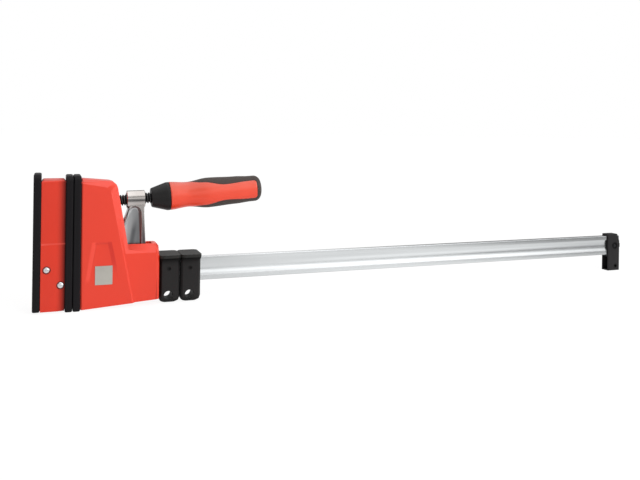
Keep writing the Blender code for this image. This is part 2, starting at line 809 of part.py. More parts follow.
def make_guide(name, start, end):
    """A plastic collar that the rail runs through."""
    outer_y = tunnel_half_width + guide_collar_wall
    guide = add(name, box_mesh(name, (start, -outer_y, tunnel_low_z - guide_collar_wall),
                               (end, outer_y, tunnel_high_z + guide_collar_wall)), jaw_body, guide_plastic)
    bore = box_mesh(name + "_bore", (start - cut_overrun, -tunnel_half_width, tunnel_low_z),
                    (end + cut_overrun, tunnel_half_width, tunnel_high_z))
    cut(guide, add_cutter(name + "_bore", bore, jaw_body))


def make_brake(housing):
    """Brake shoe under the rail, pushed up by a bowed leaf spring in a walled pocket."""
    half_length = brake_shoe_length / 2
    half_width = brake_shoe_width / 2
    shoe_top = rail_underside_z - fit_gap
    shoe_foot = shoe_top - brake_shoe_height
    spring_top = shoe_foot - fit_gap
    pocket_floor = spring_top - brake_spring_rise
    wall = brake_pocket_wall
    seat_x, seat_y = half_length + fit_gap, half_width + fit_gap
    tower_foot = underside_z(brake_centre_x) + housing_wall / 2
    tower = box_mesh("brake_tower", (brake_centre_x - seat_x - wall, -seat_y - wall, tower_foot),
                     (brake_centre_x + seat_x + wall, seat_y + wall, shoe_top - 2 * fit_gap))
    join(housing, add_cutter("brake_tower", tower, jaw_body))
    well = box_mesh("brake_well", (brake_centre_x - seat_x, -seat_y, pocket_floor - fit_gap),
                    (brake_centre_x + seat_x, seat_y, rail_underside_z))
    cut(housing, add_cutter("brake_well", well, jaw_body))
    shoe = add("brake_shoe", box_mesh("brake_shoe", (brake_centre_x - half_length, -half_width, shoe_foot),
                                      (brake_centre_x + half_length, half_width, shoe_top)),
               jaw_body, guide_plastic)
    round_edges(shoe, brake_spring_thickness, 1)

    steps = 2 * corner_steps
    inner = []
    outer = []
    for n in range(steps + 1):
        share = n / steps
        x = mix(brake_centre_x - half_length, brake_centre_x + half_length, share)
        bow = math.sin(math.pi * share) * (brake_spring_rise - brake_spring_thickness)
        inner.append((x, pocket_floor + bow))
        outer.append((x, pocket_floor + bow + brake_spring_thickness))
    spring = slab_mesh("brake_spring", inner + outer[::-1], -brake_spring_width / 2,
                       brake_spring_width / 2, "Y")
    add("brake_spring", spring, jaw_body, plain_steel)


def make_jaw_plate():
    """Steel plate behind the front wall; it takes the spindle's push at the thrust socket."""
    half = plate_width / 2
    plate = add("sliding_jaw_core", box_mesh("sliding_jaw_core", (plate_front_x, -half, plate_foot_z),
                                             (plate_back_x, half, plate_top_z)), jaw_body, cast_metal)
    round_edges(plate, plate_edge_radius, 1)
    collar = guide_collar_wall + fit_gap
    window = box_mesh("plate_window", (plate_front_x - cut_overrun, -tunnel_half_width - collar,
                                       tunnel_low_z - collar),
                      (plate_back_x + cut_overrun, tunnel_half_width + collar, tunnel_high_z + collar))
    cut(plate, add_cutter("plate_window", window, jaw_body))
    make_guide("front_rail_guide", plate_front_x, plate_back_x)

    # Places along the spindle axis, negative towards the jaw
    plate_back = (plate_back_x - axis_x) / math.cos(axis_tilt)
    socket_bottom = plate_back - socket_seat_depth
    seat = [(socket_bottom - fit_gap, 0), (socket_bottom - fit_gap, socket_diameter / 2 + fit_gap),
            (plate_back + cut_overrun, socket_diameter / 2 + fit_gap), (plate_back + cut_overrun, 0)]
    cut(plate, turned("socket_seat", seat, spindle_axis))
    cup_floor = socket_bottom + socket_floor
    cup_mouth = cup_floor + socket_depth
    outer = socket_diameter / 2
    inner = outer - socket_wall
    turned("thrust_socket", [(socket_bottom, 0), (socket_bottom, outer), (cup_mouth, outer),
                             (cup_mouth, inner), (cup_floor, inner), (cup_floor, 0)],
           spindle_axis, plain_steel)
    make_spindle(cup_floor, inner)


def make_spindle(cup_floor, cup_radius):
    pad_start = cup_floor + fit_gap
    pad_end = pad_start + thrust_pad_length
    pad_radius = cup_radius - fit_gap
    journal = journal_diameter / 2
    bore_floor = pad_end - journal_length
    crown_shares = ((0.0, 0.0), (0.25, 0.45), (0.6, 0.78), (1.0, 1.0))
    crown = [(pad_start + thrust_pad_crown * along, pad_radius * out) for along, out in crown_shares]
    turned("thrust_pad", crown + [(pad_end, pad_radius), (pad_end, journal + fit_gap),
                                  (bore_floor, journal + fit_gap), (bore_floor, 0)],
           spindle_axis, plain_steel)
    shoulder = pad_end + fit_gap
    nose = bore_floor + fit_gap
    turned("spindle", [(nose, 0), (nose, journal), (shoulder, journal), (shoulder, spindle_diameter / 2),
                       (ferrule_start + spindle_in_handle, spindle_diameter / 2),
                       (ferrule_start + spindle_in_handle, 0)], spindle_axis, dark_steel)


def make_slide_arm():
    half = arm_thickness / 2
    foot_radius = arm_foot_radius
    neck_z = axis_z + arm_edge_radius
    outline = [(arm_top_front_x, neck_z)]
    neck_x = axis_x + arm_neck_offset
    outline += [(neck_x, neck_z), (neck_x, axis_z - arm_neck_drop), (arm_rear_x, arm_hip_z)]
    foot_z = arm_underside_z + foot_radius
    outline += arc((arm_rear_x - foot_radius, foot_z), foot_radius, 0, -90, edge_steps)
    outline += arc((arm_front_foot_x + foot_radius, foot_z), foot_radius, -90, -180, edge_steps)
    outline += [(arm_front_foot_x, arm_front_foot_z), (arm_knee_x, arm_knee_z)]
    arm = add("slide_arm", slab_mesh("slide_arm", outline, -half, half, "Y"), arm_body, cast_metal)
    round_edges(arm, arm_edge_radius)
    end = boss_length / 2
    edge = arm_edge_radius / 2
    radius = boss_diameter / 2
    boss = turned("spindle_boss", [(-end, 0), (-end, radius - edge), (edge - end, radius),
                                   (end - edge, radius), (end, radius - edge), (end, 0)], boss_axis)
    join(arm, boss)
    for side in (-1, 1):
        cut(arm, add_cutter("arm_recess", arm_recess_mesh(side), arm_body))
    nut_radius = spindle_diameter / 2 + fit_gap + nut_wall
    bore = turned("nut_bore", [(-end - cut_overrun, 0), (-end - cut_overrun, nut_radius + fit_gap),
                               (end + cut_overrun, nut_radius + fit_gap), (end + cut_overrun, 0)],
                  arm_axis, half_step=True)
    cut(arm, bore)
    nut_end = end - nut_inset
    thread_bore = spindle_diameter / 2 + fit_gap
    turned("spindle_nut", [(-nut_end, thread_bore), (-nut_end, nut_radius), (nut_end, nut_radius),
                           (nut_end, thread_bore)], arm_axis, plain_steel, ring=True)

    window_half = rail_thickness / 2 + arm_side_gap
    bite_top = rail_top_z + arm_window_slack
    bite_foot = rail_underside_z - arm_window_slack
    seat_top = bite_top + bite_plate_thickness + fit_gap
    seat_foot = bite_foot - bite_plate_thickness - fit_gap
    window = box_mesh("arm_window", (arm_front_foot_x - cut_overrun, -window_half, seat_foot),
                      (arm_rear_x + cut_overrun, window_half, seat_top))
    cut(arm, add_cutter("arm_window", window, arm_body))
    inset = arm_edge_radius
    for name, low, high in (("upper_bite_plate", bite_top, bite_top + bite_plate_thickness),
                            ("lower_bite_plate", bite_foot - bite_plate_thickness, bite_foot)):
        strip = box_mesh(name, (arm_front_foot_x + inset, fit_gap - window_half, low),
                         (arm_rear_x - inset, window_half - fit_gap, high))
        add(name, strip, arm_body, dark_steel)


def arm_recess_mesh(side):
    """Arched hollow in the arm's side, with drafted walls."""
    face = side * arm_thickness / 2
    crown = (axis_x - arm_recess_crown_offset, axis_z - arm_recess_crown_drop)
    front_x = arm_front_foot_x + arm_recess_front_wall
    rear_x = arm_rear_x - arm_recess_rear_wall

    def outline(inwards):
        points = arc(crown, arm_recess_crown_radius - inwards, *arm_recess_crown_angles, 2 * corner_steps)
        points.append((arm_knee_x + arm_recess_knee_wall + inwards, arm_knee_z))
        points.append((front_x + inwards, arm_recess_foot_z + inwards))
        points.append((rear_x - inwards, arm_recess_foot_z + inwards))
        return points

    levels = ((face + side * cut_overrun, 0), (face, 0),
              (face - side * arm_recess_depth, arm_recess_draft))
    points = [(x, y, z) for y, inwards in levels for x, z in outline(inwards)]
    return hull_mesh("arm_recess", points)


grip_stations = ((ferrule_end, ferrule_rim_radius), (grip_waist_at, grip_waist_radius),
                 (grip_bulge_at, grip_bulge_radius), (grip_taper_at, grip_taper_radius),
                 (grip_tail_at, grip_tail_radius))
inlay_stations = ((inlay_start, inlay_start_half_height), (inlay_shoulder_at, inlay_shoulder_half_height),
                  (inlay_narrow_at, inlay_narrow_half_height), (inlay_wide_at, inlay_wide_half_height))


def smooth(share):
    return (1 - math.cos(math.pi * share)) / 2


def eased(stations, along):
    """Height at a place along the grip, eased from station to station."""
    if along <= stations[0][0]:
        return stations[0][1]
    for (start, before), (end, after) in zip(stations, stations[1:]):
        if along <= end:
            return mix(before, after, smooth((along - start) / (end - start)))
    return stations[-1][1]


def grip_profile(start):
    """Points (along, radius) of the grip's outside from start to the tip of its rounded end."""
    level_end = grip_end - grip_end_rounding
    points = []
    for n in range(grip_steps + 1):
        along = mix(start, level_end, n / grip_steps)
        points.append((along, eased(grip_stations, along)))
    last = points[-1][1]
    for n in range(1, corner_steps + 1):
        angle = math.pi / 2 * n / corner_steps
        points.append((level_end + grip_end_rounding * math.sin(angle),
                       last - grip_end_rounding * (1 - math.cos(angle))))
    points.append((grip_end, 0))
    return points


def field_outline(grow):
    """Outline in (along, height) of the red field, grown outwards by grow."""
    upper = []
    corner = inlay_end_rounding
    for n in range(inlay_steps + 1):
        along = mix(inlay_start, inlay_end - corner, n / inlay_steps)
        upper.append((along, eased(inlay_stations, along) + grow))
    last = upper[-1][1]
    for n in range(1, corner_steps + 1):
        angle = math.pi / 2 * n / corner_steps
        upper.append((inlay_end - corner + (corner + grow) * math.sin(angle),
                      last - corner * (1 - math.cos(angle))))
    clear = grip_bulge_radius + cut_overrun
    upper = [(ferrule_start, clear), (inlay_start, clear)] + upper
    return upper + [(along, -height) for along, height in reversed(upper)]


def make_handle():
    spindle_bore = spindle_diameter / 2 + fit_gap
    bore_end = ferrule_start + spindle_in_handle + fit_gap
    neck_start = mix(ferrule_start, ferrule_end, ferrule_neck_share)
    shoulder = mix(ferrule_start, ferrule_end, ferrule_shoulder_share)
    lip_at = mix(ferrule_start, ferrule_end, ferrule_lip_shares[0])
    lip = mix(ferrule_nose_radius, ferrule_rim_radius, ferrule_lip_shares[1])
    ferrule_profile = [(ferrule_start, spindle_bore), (ferrule_start, ferrule_nose_radius),
                       (lip_at, lip), (shoulder, ferrule_rim_radius), (ferrule_end, ferrule_rim_radius),
                       (ferrule_end, grip_neck_radius + fit_gap), (neck_start, grip_neck_radius + fit_gap),
                       (neck_start, spindle_bore)]
    turned("handle_ferrule", ferrule_profile, spindle_axis, black_plastic, grip_sides, ring=True)

    core_profile = [(neck_start + fit_gap, spindle_bore), (neck_start + fit_gap, grip_neck_radius),
                    (ferrule_end + fit_gap, grip_neck_radius)]
    core_profile += grip_profile(ferrule_end + fit_gap)
    core_profile = [(bore_end, 0), (bore_end, spindle_bore)] + core_profile
    reach = 2 * grip_bulge_radius
    core = turned("handle_grip_core", core_profile, spindle_axis, red_plastic, grip_sides)
    field = slab_mesh("red_field", field_outline(0), -reach, reach, "Y")
    combine(core, add_cutter("red_field", field, spindle_axis), "INTERSECT")

    soft = turned("handle_soft_grip", [(inlay_start, 0)] + grip_profile(inlay_start),
                  spindle_axis, soft_black, grip_sides)
    clearing = slab_mesh("soft_clearing", field_outline(fit_gap), -reach, reach, "Y")
    cut(soft, add_cutter("soft_clearing", clearing, spindle_axis))


def support_section(half_x, half_y, corner, z):
    """A rectangle with cut corners at height z."""
    points = []
    for x_side in (-1, 1):
        for y_side in (-1, 1):
            points.append((x_side * half_x, y_side * (half_y - corner), z))
            points.append((x_side * (half_x - corner), y_side * half_y, z))
    return points


def rounded_section(half_x, half_y, radius, z):
    """A rectangle with rounded corners at height z."""
    points = []
    for turn, x_side, y_side in ((0, 1, 1), (90, -1, 1), (180, -1, -1), (270, 1, -1)):
        centre = (x_side * (half_x - radius), y_side * (half_y - radius))
        points += [(x, y, z) for x, y in arc(centre, radius, turn, turn + 90, corner_steps)]
    return points


def make_support(name, frame):
    """One stand: a wide top plate on a narrow body that runs on the rail."""
    half_x = support_body_length / 2
    half_y = support_body_width / 2
    plate_x = support_plate_length / 2
    plate_y = support_plate_width / 2
    plate_foot = support_top_z - support_plate_thickness
    taper_foot = plate_foot - support_taper_height
    chamfer = support_edge_chamfer
    body = support_section(half_x, half_y, chamfer, plate_foot + fit_gap)
    for rise, inset in zip(support_foot_rises, support_foot_insets):
        body += support_section(half_x - inset, half_y - inset, chamfer, support_foot_z + rise)
    support = add(name, hull_mesh(name, body), frame, black_plastic)
    edge = support_plate_edge
    radius = support_plate_radius
    plate_points = rounded_section(plate_x, plate_y, radius, plate_foot)
    plate_points += rounded_section(plate_x, plate_y, radius, support_top_z - edge)
    plate_points += rounded_section(plate_x - edge, plate_y - edge, radius - edge, support_top_z)
    plate_points += support_section(half_x - edge, half_y - edge, chamfer, taper_foot)
    plate = add_cutter(name + "_plate", hull_mesh(name + "_plate", plate_points), frame)
    join(support, plate)
    tunnel = box_mesh(name + "_tunnel", (-plate_x - cut_overrun, -tunnel_half_width, tunnel_low_z),
                      (plate_x + cut_overrun, tunnel_half_width, tunnel_high_z))
    cut(support, add_cutter(name + "_tunnel", tunnel, frame))
    hole_x = support_hole_offset
    hole = rod_mesh(name + "_hole", support_hole_diameter, (hole_x, -plate_y, support_hole_z),
                    (hole_x, plate_y, support_hole_z))
    cut(support, add_cutter(name + "_hole", hole, frame))
    for side in (-1, 1):
        ends = sorted((side * (half_y - support_dimple_depth), side * (half_y + cut_overrun)))
        dimple = rod_mesh(name + "_dimple", support_dimple_diameter, (0, ends[0], support_dimple_z),
                          (0, ends[1], support_dimple_z), small_sides)
        cut(support, add_cutter(name + "_dimple", dimple, frame))


def make_foot():
    half_y = foot_width / 2
    rear_x = foot_front_x + foot_length
    foot = add("rail_end_foot", box_mesh("rail_end_foot", (foot_front_x, -half_y, 0),
                                         (rear_x, half_y, foot_height)), rail_body, black_plastic)
    round_edges(foot, foot_edge_radius)
    clear_x, clear_z = rear_x + cut_overrun, foot_height + cut_overrun
    corner = slab_mesh("foot_corner", [(rear_x - foot_corner_length, foot_height),
                                       (rear_x, foot_height - foot_corner_height),
                                       (clear_x, foot_height - foot_corner_height), (clear_x, clear_z),
                                       (rear_x - foot_corner_length, clear_z)], -foot_width, foot_width, "Y")
    cut(foot, add_cutter("foot_corner", corner, rail_body))
    passage = slab_mesh("foot_passage", groove_outline(fit_gap), foot_front_x - cut_overrun,
                        rail_end_x + cut_overrun, "X")
    hollow = box_mesh("foot_hollow", (foot_front_x - cut_overrun, foot_wall - half_y, foot_wall),
                      (rear_x - foot_wall, half_y - foot_wall, foot_hollow_top_z))
    cut(foot, add_cutter("foot_hollow", hollow, rail_body))
    tube_end = half_y - foot_wall / 2
    tube = rod_mesh("foot_tube", foot_boss_diameter, (foot_hole_x, tube_end, foot_hole_z),
                    (foot_hole_x, -tube_end, foot_hole_z), small_sides)
    join(foot, add_cutter("foot_tube", tube, rail_body))
    half_tongue = foot_tongue_height / 2
    tongues = box_mesh("foot_tongues", (rear_x - foot_wall, -tube_end, rail_middle_z - half_tongue),
                       (rail_end_x, tube_end, rail_middle_z + half_tongue))
    join(foot, add_cutter("foot_tongues", tongues, rail_body))
    cut(foot, add_cutter("foot_passage", passage, rail_body))
    hole = rod_mesh("foot_hole", foot_hole_diameter, (foot_hole_x, -foot_width, foot_hole_z),
                    (foot_hole_x, foot_width, foot_hole_z), small_sides)
    cut(foot, add_cutter("foot_hole", hole, rail_body))
    bore = rod_mesh("foot_pin_bore", lock_pin_diameter + 2 * fit_gap, (lock_pin_x, -foot_width, lock_pin_z),
                    (lock_pin_x, foot_width, lock_pin_z), small_sides)
    cut(foot, add_cutter("foot_pin_bore", bore, rail_body))
    for side in (-1, 1):
        ends = sorted((side * (half_y - lock_ring_depth), side * (half_y + cut_overrun)))
        ring = rod_mesh("foot_ring", lock_ring_diameter, (lock_pin_x, ends[0], lock_pin_z),
                        (lock_pin_x, ends[1], lock_pin_z))
        cut(foot, add_cutter("foot_ring", ring, rail_body))
    pin_end = half_y - lock_ring_depth / 2
    pin = rod_mesh("foot_lock_pin", lock_pin_diameter, (lock_pin_x, -pin_end, lock_pin_z),
                   (lock_pin_x, pin_end, lock_pin_z), small_sides)
    add("foot_lock_pin", pin, rail_body, dark_steel)


make_rail()
make_cap("outer_pressure_cap", outer_face_x, -1, rail_body, outer_cap_lift)
make_cap("fixed_pressure_cap", closed_face_x, 1, rail_body)
make_cap("sliding_pressure_cap", sliding_face_x, -1, jaw_body)
make_fixed_jaw()
make_sliding_housing()
make_jaw_plate()
make_slide_arm()
make_handle()
front_support_x = block_rear_x + support_plate_length / 2 + support_rest_gap
front_frame = empty("front_support_frame", (front_support_x, 0, 0), parent=jaw_body)
rear_frame = empty("rear_support_frame", (support_spacing, 0, 0), parent=front_frame)
make_support("front_rail_support", front_frame)
make_support("rear_rail_support", rear_frame)
make_foot()
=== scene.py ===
"""Parallel bar clamp: the finish of every surface, the spindle's thread, the two-part grip and
a bare badge plate, in a plain white studio."""
import math

import bmesh
import bpy
from mathutils import Matrix, Vector


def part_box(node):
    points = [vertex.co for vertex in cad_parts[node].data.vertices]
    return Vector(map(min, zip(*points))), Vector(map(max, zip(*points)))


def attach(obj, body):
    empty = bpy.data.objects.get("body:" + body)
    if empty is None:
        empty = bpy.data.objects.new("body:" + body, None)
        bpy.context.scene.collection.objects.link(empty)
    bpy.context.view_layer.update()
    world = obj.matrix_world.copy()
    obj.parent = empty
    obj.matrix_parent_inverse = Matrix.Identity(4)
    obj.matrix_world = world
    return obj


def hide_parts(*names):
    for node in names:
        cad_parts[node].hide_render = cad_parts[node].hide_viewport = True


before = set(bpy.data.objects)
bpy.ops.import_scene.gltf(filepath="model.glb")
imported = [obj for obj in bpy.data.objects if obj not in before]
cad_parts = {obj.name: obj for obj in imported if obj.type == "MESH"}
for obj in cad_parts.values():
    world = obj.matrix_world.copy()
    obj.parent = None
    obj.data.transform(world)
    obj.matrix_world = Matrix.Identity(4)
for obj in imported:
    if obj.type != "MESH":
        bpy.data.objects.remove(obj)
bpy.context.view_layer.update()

# View: a level camera in front of the fixed jaw and a little above it looks towards the rail's
# far end. Its lens is shifted down, which keeps the jaws as upright as in the photograph.
camera_place = (-0.4096, -0.8783, 0.2106)
camera_yaw = math.radians(20.9)
camera_roll = math.radians(0.8)
lens = bpy.data.cameras.new("camera")
lens.sensor_width = 36
lens.lens = 39.94
lens.shift_x = -0.0024
lens.shift_y = -0.1700
camera = bpy.data.objects.new("camera", lens)
aim = Matrix.Rotation(-camera_yaw, 4, "Z") @ Matrix.Rotation(math.pi / 2, 4, "X")
aim = aim @ Matrix.Rotation(camera_roll, 4, "Z")
camera.matrix_world = Matrix.Translation(camera_place) @ aim
bpy.context.scene.collection.objects.link(camera)
bpy.context.scene.camera = camera
bpy.context.scene.view_settings.view_transform = "Standard"

# Studio: white paper under the clamp, which keeps a faint shadow, in a white room with a large
# soft lamp at the right and weak ones all round. For mirror rays, paper and room have patches
# with a brightness of their own, which put the photograph's bands on the metal.
white = (1, 1, 1)
paper_half = 30
paper_colour = (0.13, 0.13, 0.13)
paper_glow = 0.918
paper_bounce = (0.8, 0.8, 0.8)
paper_lift = 0.14
dark_patch_from = (0.22, 0.32)
dark_patch_to = (0.70, 0.95)
dark_patch_end_x = (-0.20, -0.05)
dark_patch_loss = 0.75
far_end_x = (0.10, 0.60)
far_end_loss = 0.2
far_end_forward = (0.08, 0.24)
far_end_forward_loss = 0.6
near_end_x = (-0.22, -0.10)
near_end_loss = 0.10
light_strip_from = (0.05, 0.08)
light_strip_to = (0.11, 0.17)
light_strip_start_x = (-0.12, 0.02)
light_strip_end_x = (0.28, 0.48)
light_strip_gain = 0.30
room_fill = 0.47
room_shine = 0.62
room_front_behind = (-0.2, 0.1)
overhead_up = (0.64, 0.80)
below_overhead_up = (0.56, 0.66)
horizon_up = (0.30, 0.42)
horizon_gain = 0.45
rear_wall_along = (0.27, 0.56)
rear_wall_loss = 0.66
dark_wall_up = (0.38, 0.48)
dark_wall_along = (0.10, 0.17)
dark_wall_loss = 0.40
right_wall_along = (0.09, 0.17)
right_wall_gain = 0.34
soft_box_up = (0.08, 0.28)
soft_box_along = (0.12, 0.36)
soft_box_gain = 0.75
lit_end_along = (0.72, 0.92)
lit_end_gain = 2.4
low_corner_up = (0.00, 0.24)
low_corner_along = (0.48, 0.60)
low_corner_loss = 0.75
far_corner_up = (0.00, 0.12)
far_corner_along = (0.56, 0.70)
far_corner_loss = 1.2
corners_behind = (-0.55, -0.40)
key_power = 17
key_size = 1.1
key_place = (0.55, -1.25, 1.15)
key_target = (-0.25, 0.0, 0.08)
fill_lamps = {
    "overhead_lamp": (0.38, 70, (0.05, -0.15, 1.0)),
    "front_lamp": (0.48, 60, (-0.35, -0.95, -0.02)),
    "right_lamp": (0.45, 40, (0.95, -0.25, 0.25)),
    "rear_lamp": (0.35, 60, (0.20, 0.90, 0.45)),
}


class Field:
    """A shader socket that Python's operators work on: each one adds its Math node."""

    def __init__(self, finish, socket):
        self.finish = finish
        self.socket = socket

    def math(self, operation, *others):
        return self.finish.node("Math", {"operation": operation}, [self, *others])

    def __add__(self, other):
        return self.math("ADD", other)

    def __sub__(self, other):
        return self.math("SUBTRACT", other)

    def __rsub__(self, other):
        return self.finish.node("Math", {"operation": "SUBTRACT"}, [other, self])

    def __mul__(self, other):
        return self.math("MULTIPLY", other)

    def __pow__(self, other):
        return self.math("POWER", other)

    def __abs__(self):
        return self.math("ABSOLUTE")

    __radd__ = __add__
    __rmul__ = __mul__

    def step(self, low, high):
        """0 up to low and 1 from high on, smooth between."""
        settings = {"interpolation_type": "SMOOTHSTEP"}
        sockets = {"Value": self, "From Min": low, "From Max": high}
        return self.finish.node("MapRange", settings, sockets, "Result")

    def fall(self, low, high):
        """1 up to low and 0 from high on, smooth between."""
        return 1 - self.step(low, high)

    def between(self, start, end):
        """1 from where one step ends to where the next starts, and 0 outside both."""
        return self.step(*start) * self.fall(*end)


class Finish:
    """The nodes of one material, or of the room's light."""

    def __init__(self, holder):
        holder.use_nodes = True
        self.holder = holder
        self.tree = holder.node_tree

    def node(self, kind, settings, sockets, output=0):
        """Add a node: first its settings, then the values or links of its sockets."""
        made = self.tree.nodes.new("ShaderNode" + kind)
        for name, value in settings.items():
            setattr(made, name, value)
        named = sockets.items() if isinstance(sockets, dict) else enumerate(sockets)
        for key, value in named:
            self.feed(made.inputs[key], value)
        return Field(self, made.outputs[output])

    def feed(self, socket, value):
        if isinstance(value, Field):
            self.tree.links.new(value.socket, socket)
        elif socket.type == "RGBA" and len(value) == 3:
            socket.default_value = (*value, 1)
        else:
            socket.default_value = value

    def seen(self):
        """1 for what the camera sees itself, or through glass."""
        camera_ray = self.node("LightPath", {}, {}, "Is Camera Ray")
        return camera_ray.math("MAXIMUM", self.node("LightPath", {}, {}, "Is Transmission Ray"))

    def mirrored(self):
        return self.node("LightPath", {}, {}, "Is Glossy Ray")


def position(finish, axis, space="Object"):
    """Where a point lies along an axis, in metres; for the room, where a ray points."""
    place = finish.node("TexCoord", {}, {}, space)
    return finish.node("SeparateXYZ", {}, {"Vector": place}, axis)


sheet_form = bmesh.new()
bmesh.ops.create_grid(sheet_form, x_segments=2, y_segments=2, size=paper_half)
sheet_mesh = bpy.data.meshes.new("floor")
sheet_form.to_mesh(sheet_mesh)
sheet_form.free()
sheet = bpy.data.objects.new("floor", sheet_mesh)
bpy.context.scene.collection.objects.link(sheet)
paper = Finish(bpy.data.materials.new("white_paper"))
paper.tree.nodes.remove(paper.tree.nodes["Principled BSDF"])
rightward = position(paper, "X")
forward = position(paper, "Y") * -1
dark_patch = forward.between(dark_patch_from, dark_patch_to) * rightward.fall(*dark_patch_end_x)
far_loss = far_end_loss + forward.step(*far_end_forward) * far_end_forward_loss
far_loss = rightward.step(*far_end_x) * far_loss
near_loss = rightward.fall(*near_end_x) * near_end_loss
light_strip = forward.between(light_strip_from, light_strip_to) * light_strip_gain
light_strip = light_strip * rightward.between(light_strip_start_x, light_strip_end_x)
loss = dark_patch * dark_patch_loss + far_loss + near_loss - light_strip
glow = (1 - paper.mirrored() * loss) * paper_glow
shown = paper.node("AddShader", {}, [
    paper.node("BsdfDiffuse", {}, {"Color": paper_colour}),
    paper.node("Emission", {}, {"Color": white, "Strength": glow}),
])
lit = paper.node("AddShader", {}, [
    paper.node("BsdfDiffuse", {}, {"Color": paper_bounce}),
    paper.node("Emission", {}, {"Color": white, "Strength": paper_lift}),
])
share = paper.seen().math("MAXIMUM", paper.mirrored())
whole = paper.node("MixShader", {}, [share, lit, shown])
paper.feed(paper.tree.nodes["Material Output"].inputs["Surface"], whole)
sheet_mesh.materials.append(paper.holder)

bpy.context.scene.world = bpy.data.worlds.new("room")
room = Finish(bpy.context.scene.world)
along = position(room, "X", "Generated")
behind = position(room, "Y", "Generated")
up = position(room, "Z", "Generated")
in_front = behind.fall(*room_front_behind)
below_overhead = up.fall(*below_overhead_up)
overhead = up.step(*overhead_up)
horizon = up.fall(*horizon_up) * in_front * horizon_gain
rear_wall = (1 - in_front) * along.step(*rear_wall_along) * rear_wall_loss
dark_wall = up.step(*dark_wall_up) * below_overhead * along.fall(*dark_wall_along) * dark_wall_loss
right_wall = along.step(*right_wall_along) * right_wall_gain
soft_box = up.step(*soft_box_up) * below_overhead * along.step(*soft_box_along) * soft_box_gain
lit_end = along.step(*lit_end_along) * lit_end_gain
low_corner = along.step(*low_corner_along) * up.fall(*low_corner_up) * low_corner_loss
far_corner = along.step(*far_corner_along) * up.step(*far_corner_up) * far_corner_loss
corners = (low_corner + far_corner) * behind.fall(*corners_behind)
in_mirror = (room_shine + horizon - rear_wall + overhead - dark_wall + right_wall
             + soft_box * in_front + lit_end - corners)
in_room = room.seen() + (1 - room.seen()) * room_fill
strength = room.mirrored() * in_mirror + (1 - room.mirrored()) * in_room
room.feed(room.tree.nodes["Background"].inputs["Color"], white)
room.feed(room.tree.nodes["Background"].inputs["Strength"], strength)

key = bpy.data.lights.new("key_lamp", "AREA")
key.energy = key_power
key.size = key_size
key_stand = bpy.data.objects.new("key_lamp", key)
key_stand.location = key_place
key_stand.visible_glossy = False
key_towards = Vector(key_place) - Vector(key_target)
key_stand.rotation_euler = key_towards.to_track_quat("Z", "Y").to_euler()
bpy.context.scene.collection.objects.link(key_stand)
for name, (power, spread, towards) in fill_lamps.items():
    lamp = bpy.data.lights.new(name, "SUN")
    lamp.energy = power
    lamp.angle = math.radians(spread)
    stand = bpy.data.objects.new(name, lamp)
    stand.rotation_euler = Vector(towards).to_track_quat("Z", "Y").to_euler()
    stand.visible_glossy = False
    bpy.context.scene.collection.objects.link(stand)

# Rail: a steel bar drawn through a die, with a shallow round groove in each side, and zinc
# plated afterwards. Fine lines run along it, and the plating is slightly cloudy.
rail_low, rail_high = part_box("rail")
groove_half = 0.0087
groove_depth = 0.0020
rail_edge = 0.0007
rail_end_chamfer = 0.0004
groove_steps = 36
edge_steps = 4
zinc_dull = (0.50, 0.52, 0.530)
zinc_clear = (0.78, 0.795, 0.800)
zinc_underside_shade = (0.22, 0.23, 0.24)
zinc_relief = 0.000022
facing_down = (-0.60, -0.25)
underside_z = (rail_low.z + 0.003, rail_low.z + 0.004)


def surface(name, base, roughness, metallic=0.0, others=()):
    """A new finish with its shader's constants set."""
    finish = Finish(bpy.data.materials.new(name))
    finish.shader = finish.tree.nodes["Principled BSDF"]
    constants = {"Base Color": base, "Roughness": roughness, "Metallic": metallic}
    constants.update(others)
    for socket, value in constants.items():
        finish.feed(finish.shader.inputs[socket], value)
    return finish


def facing(finish, axis):
    """How far a surface faces along an axis, from -1 to 1."""
    normal = finish.node("NewGeometry", {}, {}, "Normal")
    return finish.node("SeparateXYZ", {}, {"Vector": normal}, axis)


def grain(finish, per_metre, detail=3, roughness=0.5):
    """Noise that stays with the piece; per_metre is how fine it is along X, Y and Z."""
    place = finish.node("TexCoord", {}, {}, "Object")
    spread = finish.node("Mapping", {}, {"Vector": place, "Scale": per_metre}, "Vector")
    sockets = {"Vector": spread, "Scale": 1.0, "Detail": detail, "Roughness": roughness}
    return finish.node("TexNoise", {}, sockets, "Fac")


def tint(finish, share, first, second):
    """A colour between two, by share."""
    return finish.node("Mix", {"data_type": "RGBA"}, {0: share, 6: first, 7: second}, 2)


def colour(finish, value):
    finish.feed(finish.shader.inputs["Base Color"], value)


def gloss(finish, value):
    finish.feed(finish.shader.inputs["Roughness"], value)


def relief(finish, height, depth):
    """Bump from a height of 0 to 1; depth is its full height in metres."""
    sockets = {"Height": height, "Distance": depth, "Strength": 1.0}
    finish.feed(finish.shader.inputs["Normal"], finish.node("Bump", {}, sockets, "Normal"))


def arc(centre, radius, first, last, steps):
    """Points on an arc, angles in degrees, ends included."""
    turns = [math.radians(first + (last - first) * n / steps) for n in range(steps + 1)]
    return [(centre[0] + radius * math.cos(t), centre[1] + radius * math.sin(t)) for t in turns]


def shaped(name, form, finish, sharp=50):
    """An object from a form, smooth but for its sharp edges, its flats kept flat."""
    bmesh.ops.recalc_face_normals(form, faces=form.faces)
    mesh = bpy.data.meshes.new(name)
    form.to_mesh(mesh)
    form.free()
    mesh.shade_smooth()
    mesh.set_sharp_from_angle(angle=math.radians(sharp))
    mesh.materials.append(finish.holder)
    piece = bpy.data.objects.new(name, mesh)
    bpy.context.scene.collection.objects.link(piece)
    flats = piece.modifiers.new("flats", "WEIGHTED_NORMAL")
    flats.keep_sharp = True
    return piece


